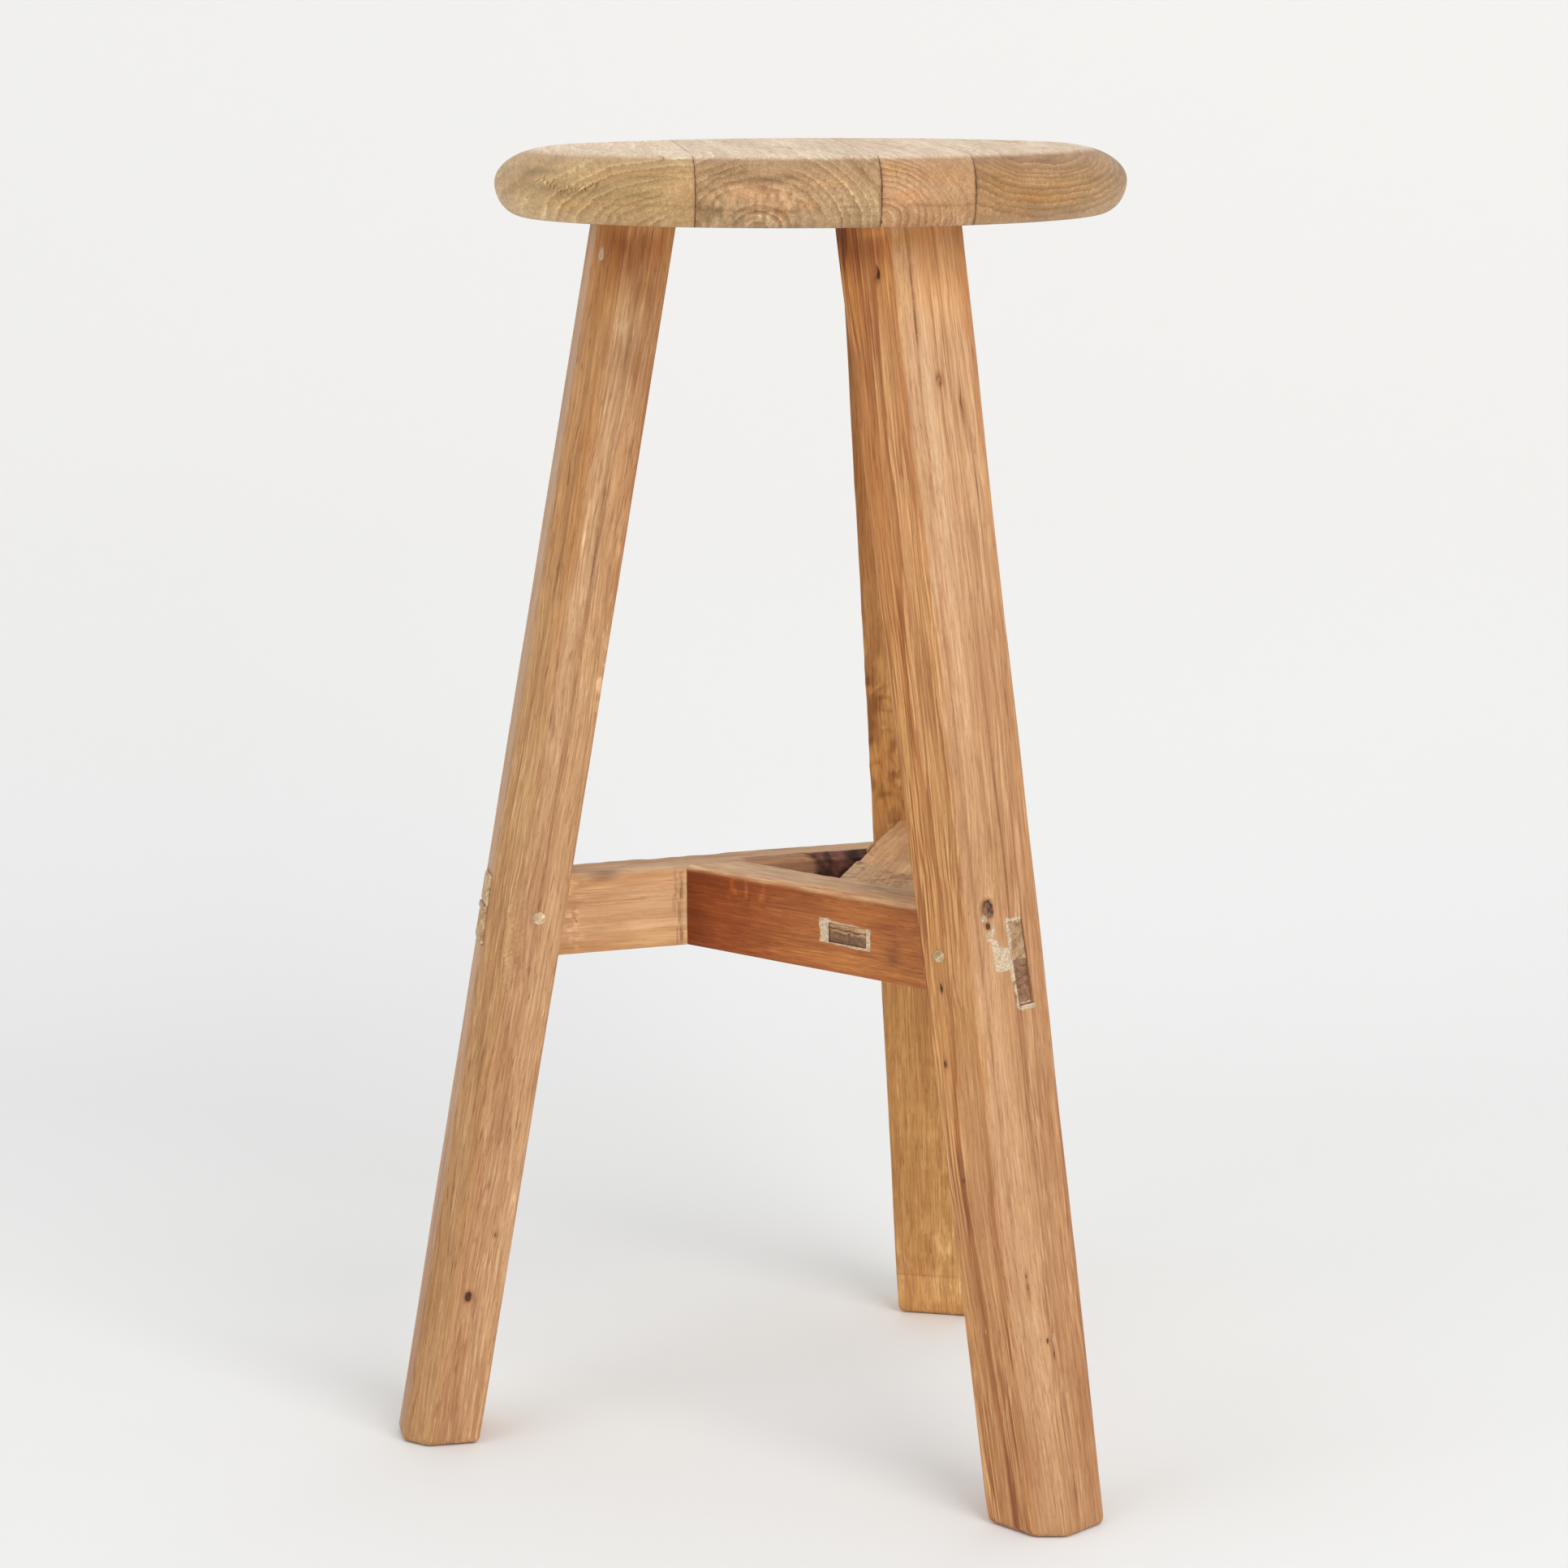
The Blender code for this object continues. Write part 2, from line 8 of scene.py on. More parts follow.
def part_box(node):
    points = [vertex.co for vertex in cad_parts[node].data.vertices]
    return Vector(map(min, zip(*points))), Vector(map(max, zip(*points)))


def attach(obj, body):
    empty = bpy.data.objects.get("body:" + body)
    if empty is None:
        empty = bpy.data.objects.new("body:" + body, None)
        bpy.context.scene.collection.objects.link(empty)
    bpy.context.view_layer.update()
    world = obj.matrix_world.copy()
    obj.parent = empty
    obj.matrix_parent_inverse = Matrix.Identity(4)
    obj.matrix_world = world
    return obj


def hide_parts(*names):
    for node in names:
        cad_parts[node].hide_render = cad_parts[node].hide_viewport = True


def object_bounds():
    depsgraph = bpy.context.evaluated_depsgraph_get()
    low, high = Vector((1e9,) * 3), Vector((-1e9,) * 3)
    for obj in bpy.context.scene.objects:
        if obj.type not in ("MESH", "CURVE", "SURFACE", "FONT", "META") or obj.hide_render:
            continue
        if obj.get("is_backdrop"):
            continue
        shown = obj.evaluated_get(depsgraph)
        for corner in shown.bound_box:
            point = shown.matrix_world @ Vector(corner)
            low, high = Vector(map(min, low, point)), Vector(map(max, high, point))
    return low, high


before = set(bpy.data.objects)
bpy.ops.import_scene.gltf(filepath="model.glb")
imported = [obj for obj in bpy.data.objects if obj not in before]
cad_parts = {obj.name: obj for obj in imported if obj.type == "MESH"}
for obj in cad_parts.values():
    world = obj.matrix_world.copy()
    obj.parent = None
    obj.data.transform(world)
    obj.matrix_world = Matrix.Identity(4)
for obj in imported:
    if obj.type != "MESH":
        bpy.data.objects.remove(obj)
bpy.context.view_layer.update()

# ---------------------------------------------------------------- places taken from the frame
boards_low = [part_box(f"seat_board_{i}")[0] for i in (1, 2, 3, 4)]
boards_high = [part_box(f"seat_board_{i}")[1] for i in (1, 2, 3, 4)]
SEAT_R = (boards_high[3].x - boards_low[0].x) / 2
AXIS = np.array([(boards_high[3].x + boards_low[0].x) / 2,
                 (min(b.y for b in boards_low) + max(b.y for b in boards_high)) / 2, 0.0])
TOP = max(b.z for b in boards_high)
UNDER = min(b.z for b in boards_low)
bar_low, bar_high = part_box("stretcher_right")
BAR_TOP, BAR_BOTTOM = bar_high.z, bar_low.z

# the seat's boards run front to back, turned a little
TURN = math.radians(4.3)
JOINTS = (-0.0636, 0.0211, 0.0658)
TOP_ROUND, BOTTOM_ROUND = 0.0225, 0.0140

# each leg: centre under the seat and on the floor (radius, angle from the seat's axis), the heading of
# its outer face, half depth and half width, and its two worn outer corners, each top then foot
LEGS = {
    "leg_left": dict(top=(0.0880, 188.1), foot=(0.1968, 189.8), face=(190.2, 191.9), half_top=(0.0185, 0.0219),
                     half_foot=(0.0188, 0.0215), chamfer=((0.0088, 0.0120), (0.0084, 0.0112)), seed=11),
    "leg_right": dict(top=(0.0790, -57.0), foot=(0.1980, -54.8), face=(-43.2, -44.9), half_top=(0.0215, 0.0235),
                      half_foot=(0.0204, 0.0224), chamfer=((0.0068, 0.0112), (0.0052, 0.0078)), seed=23),
    "leg_back": dict(top=(0.0885, 61.8), foot=(0.1908, 67.4), face=(75.4, 77.0), half_top=(0.0200, 0.0230),
                     half_foot=(0.0190, 0.0221), chamfer=((0.0090, 0.0116), (0.0090, 0.0112)), seed=37),
}
BARS = {
    "stretcher_left": dict(leg="leg_left", into="stretcher_back", heading=199.66, offset=0.0179, hub=0.0241,
                           end=0.0241, tenon=(0.0240, 0.0360), tenon_z=(0.2620, 0.2898), proud=0.0019,
                           hub_tenon=(0.0205, 0.0390), shown_z=(0.2585, 0.2925), shown_n=(0.0180, 0.0360), seed=5),
    "stretcher_right": dict(leg="leg_right", into="stretcher_left", heading=-39.98, offset=0.0179, hub=0.0263,
                            end=0.0263, tenon=(0.0279, 0.0402), tenon_z=(0.2505, 0.2898), shown_n=(0.0343, 0.0442), proud=0.0002,
                            hub_tenon=(0.0210, 0.0410), seed=7),
    "stretcher_back": dict(leg="leg_back", into="stretcher_right", heading=77.68, offset=0.0193, hub=0.0465,
                           end=0.0340, tenon=(0.0270, 0.0390), tenon_z=(0.2570, 0.2840), proud=0.0004,
                           hub_tenon=(0.0210, 0.0465), hub_shown=(0.0213, 0.0421), hub_shown_z=(0.2645, 0.2741), seed=9),
}
HUB_Z = (0.2630, 0.2778)


# ---------------------------------------------------------------- noise on numpy arrays
def _hash(x, y, z, seed):
    h = (x.astype(np.uint32) * np.uint32(374761393) + y.astype(np.uint32) * np.uint32(668265263)
         + z.astype(np.uint32) * np.uint32(2246822519) + np.uint32((seed * 3266489917) & 0xFFFFFFFF))
    h = (h ^ (h >> np.uint32(15))) * np.uint32(2654435761)
    h = (h ^ (h >> np.uint32(13))) * np.uint32(1274126177)
    h = h ^ (h >> np.uint32(16))
    return (h & np.uint32(0xFFFFFF)).astype(np.float64) / 16777215.0


def noise(p, seed=0):
    """Value noise, 0 to 1, on an array of points."""
    p = np.asarray(p, float)
    i = np.floor(p).astype(np.int64)
    f = p - i
    f = f * f * f * (f * (f * 6 - 15) + 10)
    out = np.zeros(p.shape[:-1])
    for dx in (0, 1):
        wx = f[..., 0] if dx else 1 - f[..., 0]
        for dy in (0, 1):
            wy = f[..., 1] if dy else 1 - f[..., 1]
            for dz in (0, 1):
                wz = f[..., 2] if dz else 1 - f[..., 2]
                out += wx * wy * wz * _hash(i[..., 0] + dx, i[..., 1] + dy, i[..., 2] + dz, seed)
    return out


def fbm(p, seed=0, octaves=3):
    total, amp, norm = 0.0, 1.0, 0.0
    p = np.asarray(p, float)
    for k in range(octaves):
        total = total + amp * noise(p * (2 ** k) + 17.3 * k, seed + 101 * k)
        norm += amp
        amp *= 0.5
    return total / norm


def line_noise(t, seed, octaves=2):
    """Noise along one length, -1 to 1."""
    t = np.asarray(t, float)
    return fbm(np.stack([t, np.full_like(t, seed * 3.7), np.zeros_like(t)], -1), seed, octaves) * 2 - 1


def step(lo, hi, x):
    t = np.clip((np.asarray(x, float) - lo) / (hi - lo), 0, 1)
    return t * t * (3 - 2 * t)


def srgb(*c):
    c = np.array(c, float) / 255.0
    return np.where(c <= 0.04045, c / 12.92, ((c + 0.055) / 1.055) ** 2.4)


def heading(degrees):
    a = math.radians(degrees)
    u = np.array([math.cos(a), math.sin(a), 0.0])
    return u, np.array([u[1], -u[0], 0.0])


def polar(pair):
    a = math.radians(pair[1])
    return np.array([pair[0] * math.cos(a), pair[0] * math.sin(a)])


# ---------------------------------------------------------------- meshes
def to_object(name, co, faces):
    """A mesh object from points measured from the seat's axis."""
    mesh = bpy.data.meshes.new(name)
    mesh.from_pydata((np.asarray(co) + AXIS).tolist(), [], [list(f) for f in faces])
    mesh.validate()
    obj = bpy.data.objects.new(name, mesh)
    bpy.context.scene.collection.objects.link(obj)
    return obj


def points(obj):
    co = np.empty(len(obj.data.vertices) * 3, np.float32)
    obj.data.vertices.foreach_get("co", co)
    return co.reshape(-1, 3).astype(float) - AXIS


def set_points(obj, co):
    obj.data.vertices.foreach_set("co", (np.asarray(co) + AXIS).astype(np.float32).ravel())
    obj.data.update()


def tube(name, rings, close_start=True, close_end=True):
    """A closed skin through rings of points, each end gathered to a middle point over a few rings."""
    rings = [np.asarray(r) for r in rings]
    n = len(rings[0])
    body = list(rings)

    def gather(ring):
        mid = ring.mean(0)
        return [mid + (ring - mid) * s for s in (0.97, 0.90, 0.80, 0.68, 0.55, 0.41, 0.27, 0.12)]

    if close_start:
        body = list(reversed(gather(rings[0]))) + body
    if close_end:
        body = body + gather(rings[-1])
    m = len(body)
    co = np.concatenate(body + [body[0].mean(0)[None], body[-1].mean(0)[None]])
    i = np.arange(m - 1)[:, None] * n
    j = np.arange(n)[None, :]
    k = (j + 1) % n
    quads = np.stack([i + j, i + k, i + n + k, i + n + j], -1).reshape(-1, 4)
    faces = quads.tolist()
    first, last = m * n, m * n + 1
    faces += [[first, int(b), int(a)] for a, b in zip(np.arange(n), (np.arange(n) + 1) % n)]
    faces += [[last, int((m - 1) * n + a), int((m - 1) * n + b)] for a, b in zip(np.arange(n), (np.arange(n) + 1) % n)]
    # the rings may be listed either way round: the faces look outwards in any case
    q = (co - co.mean(0))[quads]
    if (np.cross(q[:, 0], q[:, 1]) * q[:, 2] + np.cross(q[:, 0], q[:, 2]) * q[:, 3]).sum() < 0:
        faces = [f[::-1] for f in faces]
    return to_object(name, co, faces)


def outline(corners, radii, pitch):
    """A rounded polygon, listed the same way round however its corners move: a fixed count on each side
    and on each rounded corner."""
    corners = [np.array(c, float) for c in corners]
    out = []
    count = len(corners)
    ends = []
    for i, c in enumerate(corners):
        a, b = corners[i - 1], corners[(i + 1) % count]
        ua, ub = (a - c) / np.linalg.norm(a - c), (b - c) / np.linalg.norm(b - c)
        turn = math.pi - math.acos(max(-1, min(1, float(ua @ ub))))
        t = radii[i] * math.tan(turn / 2)
        ends.append((c + ua * t, c + ub * t, c))
    for i in range(count):
        p, q, c = ends[i]
        arc_n = pitch["arc"][i]
        for k in range(arc_n):
            s = k / arc_n
            out.append((1 - s) ** 2 * p + 2 * s * (1 - s) * c + s ** 2 * q)
        nxt = ends[(i + 1) % count][0]
        side_n = pitch["side"][i]
        for k in range(side_n):
            out.append(q + (nxt - q) * k / side_n)
    return np.array(out)


def block(name, origin, x, y, z, size):
    """A closed box, from its centre, three directions and its three sizes."""
    x, y, z, o = (np.array(v, float) for v in (x, y, z, origin))
    co = [o + x * size[0] / 2 * i + y * size[1] / 2 * j + z * size[2] / 2 * k
          for i in (-1, 1) for j in (-1, 1) for k in (-1, 1)]
    faces = [(0, 1, 3, 2), (4, 6, 7, 5), (0, 4, 5, 1), (2, 3, 7, 6), (0, 2, 6, 4), (1, 5, 7, 3)]
    if np.dot(np.cross(x, y), z) < 0:
        faces = [tuple(reversed(f)) for f in faces]
    return to_object(name, co, faces)


def cut(obj, tools, operation="DIFFERENCE"):
    """Applies a Boolean with each tool, and removes the tools."""
    for tool in tools:
        mod = obj.modifiers.new("cut", "BOOLEAN")
        mod.operation = operation
        mod.solver = "MANIFOLD"
        mod.object = tool
    bpy.context.view_layer.update()
    mesh = bpy.data.meshes.new_from_object(obj.evaluated_get(bpy.context.evaluated_depsgraph_get()))
    obj.modifiers.clear()
    old = obj.data
    obj.data = mesh
    bpy.data.meshes.remove(old)
    for tool in tools:
        bpy.data.objects.remove(tool, do_unlink=True)
    return obj


def attribute(obj, name, values):
    values = np.asarray(values, float)
    kind, key = ("FLOAT", "value")
    if values.ndim == 2 and values.shape[1] == 3:
        kind, key = "FLOAT_VECTOR", "vector"
    if values.ndim == 2 and values.shape[1] == 4:
        kind, key = "FLOAT_COLOR", "color"
    a = obj.data.attributes.new(name, kind, "POINT")
    a.data.foreach_set(key, values.astype(np.float32).ravel())


# ---------------------------------------------------------------- wood, as one shader that reads each piece's own fields
class Graph:
    """Short calls for a node tree."""

    def __init__(self, tree):
        self.tree = tree

    def node(self, kind, **props):
        n = self.tree.nodes.new(kind)
        for k, v in props.items():
            setattr(n, k, v)
        return n

    def put(self, socket, value):
        if isinstance(value, bpy.types.NodeSocket):
            self.tree.links.new(value, socket)
        elif isinstance(value, (tuple, list)) and socket.type == "RGBA" and len(value) == 3:
            socket.default_value = (*value, 1.0)
        else:
            socket.default_value = value

    def math(self, op, a, b=None, c=None, clamp=False):
        n = self.node("ShaderNodeMath", operation=op, use_clamp=clamp)
        for i, v in enumerate((a, b, c)):
            if v is not None:
                self.put(n.inputs[i], v)
        return n.outputs[0]

    def vmath(self, op, a, b=None):
        n = self.node("ShaderNodeVectorMath", operation=op)
        self.put(n.inputs[0], a)
        if b is not None:
            self.put(n.inputs[1], b)
        return n.outputs[0]

    def smooth(self, x, lo, hi, a=0.0, b=1.0):
        n = self.node("ShaderNodeMapRange", interpolation_type="SMOOTHSTEP", clamp=True)
        for i, v in enumerate((x, lo, hi, a, b)):
            self.put(n.inputs[i], v)
        return n.outputs[0]

    def noise(self, vector, detail=2.0, rough=0.55, distortion=0.0):
        n = self.node("ShaderNodeTexNoise", noise_dimensions="3D")
        self.put(n.inputs["Vector"], vector)
        n.inputs["Scale"].default_value = 1.0
        n.inputs["Detail"].default_value = detail
        n.inputs["Roughness"].default_value = rough
        n.inputs["Distortion"].default_value = distortion
        return n.outputs[0]

    def mix(self, t, a, b, blend="MIX"):
        n = self.node("ShaderNodeMix", data_type="RGBA", blend_type=blend)
        n.clamp_factor = True
        self.put(n.inputs[0], t)
        self.put(n.inputs[6], a)
        self.put(n.inputs[7], b)
        return n.outputs[2]

    def read(self, name):
        return self.node("ShaderNodeAttribute", attribute_type="GEOMETRY", attribute_name=name)


def wood(name, pale_line=0.0, dark_line=0.5, fibre=0.5, streak=0.5, pores=0.35, rough=0.52, bump=0.5,
         late=(0.70, 0.55, 0.42), putty=(0.655, 0.495, 0.335), hole=(0.060, 0.032, 0.018), flecks=0.5, comb=0.4,
         sparse=0.5, lines=(30.0, 560.0)):
    mat = bpy.data.materials.new(name)
    mat.use_nodes = True
    tree = mat.node_tree
    tree.nodes.clear()
    g = Graph(tree)
    grain = g.read("grain").outputs["Vector"]
    base = g.read("base").outputs["Color"]
    ring = g.read("ring").outputs["Fac"]
    marks = g.node("ShaderNodeSeparateXYZ")
    g.put(marks.inputs[0], g.read("marks").outputs["Vector"])
    hole_d, putty_d, contrast = marks.outputs
    wear = g.node("ShaderNodeSeparateXYZ")
    g.put(wear.inputs[0], g.read("wear").outputs["Vector"])
    grey, dirt_and_shade, endness = wear.outputs

    fine = g.noise(g.vmath("MULTIPLY", grain, (40.0, 1150.0, 1150.0)), 3.0, 0.62)
    combed = g.noise(g.vmath("MULTIPLY", grain, (lines[0], lines[1], lines[1])), 1.0, 0.4, 0.25)
    field = g.noise(g.vmath("MULTIPLY", grain, (11.0, 75.0, 75.0)), 1.0, 0.5)
    torn = g.noise(g.vmath("MULTIPLY", g.vmath("ADD", grain, (0.31, 0.17, 0.05)), (90.0, 1100.0, 1100.0)), 1.0, 0.5, 0.3)
    scar = g.noise(g.vmath("MULTIPLY", g.vmath("ADD", grain, (0.77, 0.41, 0.23)), (60.0, 700.0, 700.0)), 1.0, 0.5, 0.3)
    mid = g.noise(g.vmath("MULTIPLY", grain, (10.0, 340.0, 340.0)), 2.0, 0.55)
    wide = g.noise(g.vmath("MULTIPLY", grain, (4.0, 62.0, 62.0)), 2.0, 0.5)
    speck = g.noise(g.vmath("MULTIPLY", grain, (170.0, 2400.0, 2400.0)), 1.0, 0.5)
    grit = g.noise(g.vmath("MULTIPLY", grain, (900.0, 900.0, 900.0)), 2.0, 0.6)

    # growth rings: slow rise to a dark late band, sharp return to pale early wood
    warp = g.math("MULTIPLY_ADD", g.math("SUBTRACT", mid, 0.5), 0.55, ring)
    warp = g.math("MULTIPLY_ADD", g.math("SUBTRACT", fine, 0.5), 0.28, warp)
    x = g.math("FRACT", warp)
    band = g.math("MULTIPLY", g.smooth(x, 0.30, 0.90), g.smooth(x, 1.0, 0.93))
    early = g.math("MULTIPLY", g.smooth(x, 0.30, 0.10), g.smooth(x, 0.0, 0.05))
    year = g.node("ShaderNodeTexWhiteNoise", noise_dimensions="1D")
    g.put(year.inputs["W"], g.math("FLOOR", warp))
    other = g.node("ShaderNodeTexWhiteNoise", noise_dimensions="1D")
    g.put(other.inputs["W"], g.math("ADD", g.math("FLOOR", warp), 57.3))
    band = g.math("MULTIPLY", band, g.smooth(year.outputs["Value"], sparse - 0.3, sparse + 0.5, 0.15, 1.35))
    early = g.math("MULTIPLY", early, g.smooth(other.outputs["Value"], sparse, sparse + 0.35, 0.0, 1.35))
    band = g.math("MULTIPLY", band, contrast)
    early = g.math("MULTIPLY", early, contrast)

    colour = base
    dark = g.mix(1.0, base, (*late, 1.0), "MULTIPLY")
    colour = g.mix(g.math("MULTIPLY", band, dark_line, clamp=True), colour, dark)
    light = g.mix(1.0, base, (1.20, 1.28, 1.36, 1.0), "MULTIPLY")
    colour = g.mix(g.math("MULTIPLY", early, pale_line, clamp=True), colour, light)
    # long soft streaks and fine fibres
    s1 = g.smooth(wide, 0.30, 0.70, 1.0 - 0.30 * streak, 1.0 + 0.24 * streak)
    s2 = g.smooth(mid, 0.28, 0.72, 1.0 - 0.26 * streak, 1.0 + 0.22 * streak)
    s3 = g.smooth(fine, 0.25, 0.75, 1.0 - 0.30 * fibre, 1.0 + 0.26 * fibre)
    local = g.math("MULTIPLY", g.smooth(field, 0.36, 0.60, 0.35, 1.15),
                   g.math("MULTIPLY", g.math("MINIMUM", g.math("MULTIPLY_ADD", contrast, 0.65, 0.35), 1.9), comb))
    s4 = g.math("MULTIPLY_ADD", g.smooth(combed, 0.34, 0.66, -0.30, 0.26), local, 1.0)
    shade = g.math("MULTIPLY", g.math("MULTIPLY", g.math("MULTIPLY", s1, s2), s3), s4)
    tone = g.node("ShaderNodeCombineXYZ")
    g.put(tone.inputs[0], g.math("POWER", shade, 0.70))
    g.put(tone.inputs[1], g.math("POWER", shade, 1.02))
    g.put(tone.inputs[2], g.math("POWER", shade, 1.30))
    colour = g.mix(1.0, colour, tone.outputs[0], "MULTIPLY")
    # open pores, dark and short
    pore = g.math("MULTIPLY", g.smooth(speck, 0.60, 0.74), pores)
    colour = g.mix(pore, colour, g.mix(1.0, colour, (0.50, 0.38, 0.30, 1.0), "MULTIPLY"))
    # short pale dashes where fibres are torn, and short dark scars
    fleck = g.math("MULTIPLY", g.math("MULTIPLY", g.smooth(torn, 0.58, 0.70), g.smooth(field, 0.44, 0.60)), flecks, clamp=True)
    colour = g.mix(fleck, colour, g.mix(1.0, colour, (1.20, 1.34, 1.52, 1.0), "MULTIPLY"))
    dash = g.math("MULTIPLY", g.math("MULTIPLY", g.smooth(scar, 0.62, 0.74), g.smooth(field, 0.58, 0.42)), flecks, clamp=True)
    colour = g.mix(g.math("MULTIPLY", dash, 0.8), colour, g.mix(1.0, colour, (0.56, 0.46, 0.38, 1.0), "MULTIPLY"))
    # weathering, and darkening for dirt and painted shade
    bleached = g.node("ShaderNodeHueSaturation")
    g.put(bleached.inputs["Color"], base)
    bleached.inputs["Saturation"].default_value = 0.62
    bleached.inputs["Value"].default_value = 1.0
    greyed = g.mix(g.smooth(grit, 0.35, 0.70), g.mix(1.0, bleached.outputs[0], (0.84, 0.83, 0.82, 1.0), "MULTIPLY"),
                   g.mix(1.0, bleached.outputs[0], (1.12, 1.13, 1.14, 1.0), "MULTIPLY"))
    greyed = g.mix(0.80, greyed, g.mix(1.0, greyed, tone.outputs[0], "MULTIPLY"))
    grey_edge = g.math("ADD", grey, g.math("MULTIPLY", g.math("SUBTRACT", wide, 0.5), 0.9))
    colour = g.mix(g.math("MULTIPLY", g.smooth(grey_edge, 0.30, 0.80), g.smooth(grey, 0.02, 0.25)), colour, greyed)
    soiled_and_shaded = g.mix(1.0, colour, (0.42, 0.31, 0.24, 1.0), "MULTIPLY")
    dirt_and_shade_edge = g.math("MULTIPLY_ADD", g.math("SUBTRACT", mid, 0.5), 0.8, dirt_and_shade)
    colour = g.mix(g.math("MULTIPLY", g.smooth(dirt_and_shade_edge, 0.15, 0.85), g.smooth(dirt_and_shade, 0.02, 0.2), clamp=True), colour, soiled_and_shaded)
    # filler, then holes and cracks; both are distances in millimetres, ragged by fine noise
    rag = g.math("MULTIPLY", g.math("SUBTRACT", grit, 0.5), 1.5)
    is_putty = g.smooth(g.math("ADD", putty_d, rag), 0.18, -0.18)
    filler = g.mix(g.smooth(grit, 0.36, 0.60), tuple(0.66 * v for v in putty) + (1.0,), tuple(1.10 * v for v in putty) + (1.0,))
    colour = g.mix(is_putty, colour, filler)
    rag2 = g.math("MULTIPLY", g.math("SUBTRACT", g.math("MULTIPLY_ADD", mid, 0.6, g.math("MULTIPLY", grit, 0.4)), 0.5), 0.9)
    is_hole = g.smooth(g.math("ADD", hole_d, rag2), 0.22, -0.22)
    rim = g.math("MULTIPLY", g.smooth(hole_d, 1.6, 0.0), 0.42)
    colour = g.mix(rim, colour, g.mix(1.0, colour, (0.55, 0.38, 0.26, 1.0), "MULTIPLY"))
    colour = g.mix(g.math("MULTIPLY", is_hole, 0.93), colour, (*hole, 1.0))

    # relief
    h = g.math("MULTIPLY", band, 0.55)
    h = g.math("ADD", h, g.math("MULTIPLY", early, 0.25))
    h = g.math("ADD", h, g.math("MULTIPLY", fine, 0.75))
    h = g.math("ADD", h, g.math("MULTIPLY", mid, 0.9))
    h = g.math("ADD", h, g.math("MULTIPLY", g.math("MULTIPLY", combed, local), 2.2))
    h = g.math("SUBTRACT", h, g.math("MULTIPLY", pore, 0.8))
    h = g.math("ADD", h, g.math("MULTIPLY", grit, 0.18))
    h = g.math("SUBTRACT", h, g.math("MULTIPLY", is_hole, 3.0))
    h = g.math("MULTIPLY", h, g.smooth(is_putty, 0.0, 1.0, 1.0, 0.55))
    relief = g.node("ShaderNodeBump")
    relief.inputs["Strength"].default_value = bump
    relief.inputs["Distance"].default_value = 0.00022
    g.put(relief.inputs["Height"], h)

    r = g.math("ADD", rough, g.math("MULTIPLY", g.math("SUBTRACT", fine, 0.5), 0.22))
    r = g.math("ADD", r, g.math("MULTIPLY", band, -0.05))
    r = g.math("ADD", r, g.math("MULTIPLY", g.math("MAXIMUM", g.math("MAXIMUM", is_putty, is_hole), grey), 0.25), clamp=True)
    shader = g.node("ShaderNodeBsdfPrincipled")
    g.put(shader.inputs["Base Color"], colour)
    g.put(shader.inputs["Roughness"], r)
    g.put(shader.inputs["Normal"], relief.outputs[0])
    shader.inputs["IOR"].default_value = 1.45
    shader.inputs["Specular IOR Level"].default_value = 0.42
    out = g.node("ShaderNodeOutputMaterial")
    g.put(out.inputs["Surface"], shader.outputs[0])
    return mat


FAR = 50.0


def dress(obj, mat, base, grain, ring, contrast=1.0, hole=None, putty=None, grey=None, dirt_and_shade=None, end=None,
          node=(), smooth_angle=38):
    """Sets the fields the wood shader reads, hangs the piece on the body and hides the CAD part it stands for, if one
    is given.
    """
    n = len(obj.data.vertices)

    def full(v, default):
        v = default if v is None else v
        return np.broadcast_to(np.asarray(v, float), (n,)).copy()

    rgba = np.ones((n, 4))
    rgba[:, :3] = np.clip(base, 0.002, 0.95)
    attribute(obj, "base", rgba)
    attribute(obj, "grain", grain)
    attribute(obj, "ring", full(ring, 0.0))
    attribute(obj, "marks", np.stack([full(hole, FAR), full(putty, FAR), full(contrast, 1.0)], -1))
    attribute(obj, "wear", np.stack([full(grey, 0.0), full(dirt_and_shade, 0.0), full(end, 0.0)], -1))
    obj.data.materials.clear()
    obj.data.materials.append(mat)
    obj.data.shade_smooth()
    obj.data.set_sharp_from_angle(angle=math.radians(smooth_angle))
    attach(obj, "root")
    if node:
        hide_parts(*([node] if isinstance(node, str) else node))
    return obj


def spot(p, centre, along, ra, rc, k=2.0, out=None):
    """Distance in millimetres outside a long round spot on the surface; its length lies along a direction.
    With the surface's outward direction given, depth into the piece doesn't count."""
    d = (p - np.array(centre, float) / 1000.0) * 1000.0
    along = np.asarray(along, float)
    t = d @ along
    rest = d - t[:, None] * along
    perp = np.linalg.norm(rest, axis=1)
    if out is not None:
        across = np.cross(along, out)
        across /= np.linalg.norm(across)
        perp = np.abs(d @ across)
    q = ((np.abs(t) / ra) ** k + (perp / rc) ** k) ** (1.0 / k)
    dist = (q - 1.0) * min(ra, rc)
    if out is not None:
        dist = np.where(np.abs(d @ np.asarray(out, float)) > 9.0, FAR, dist)
    return dist


def glow(p, centre, along, ra, rc):
    d = (p - np.array(centre, float) / 1000.0) * 1000.0
    along = np.asarray(along, float)
    t = d @ along
    perp2 = (d ** 2).sum(1) - t ** 2
    return np.exp(-(t / ra) ** 2 - perp2 / rc ** 2)


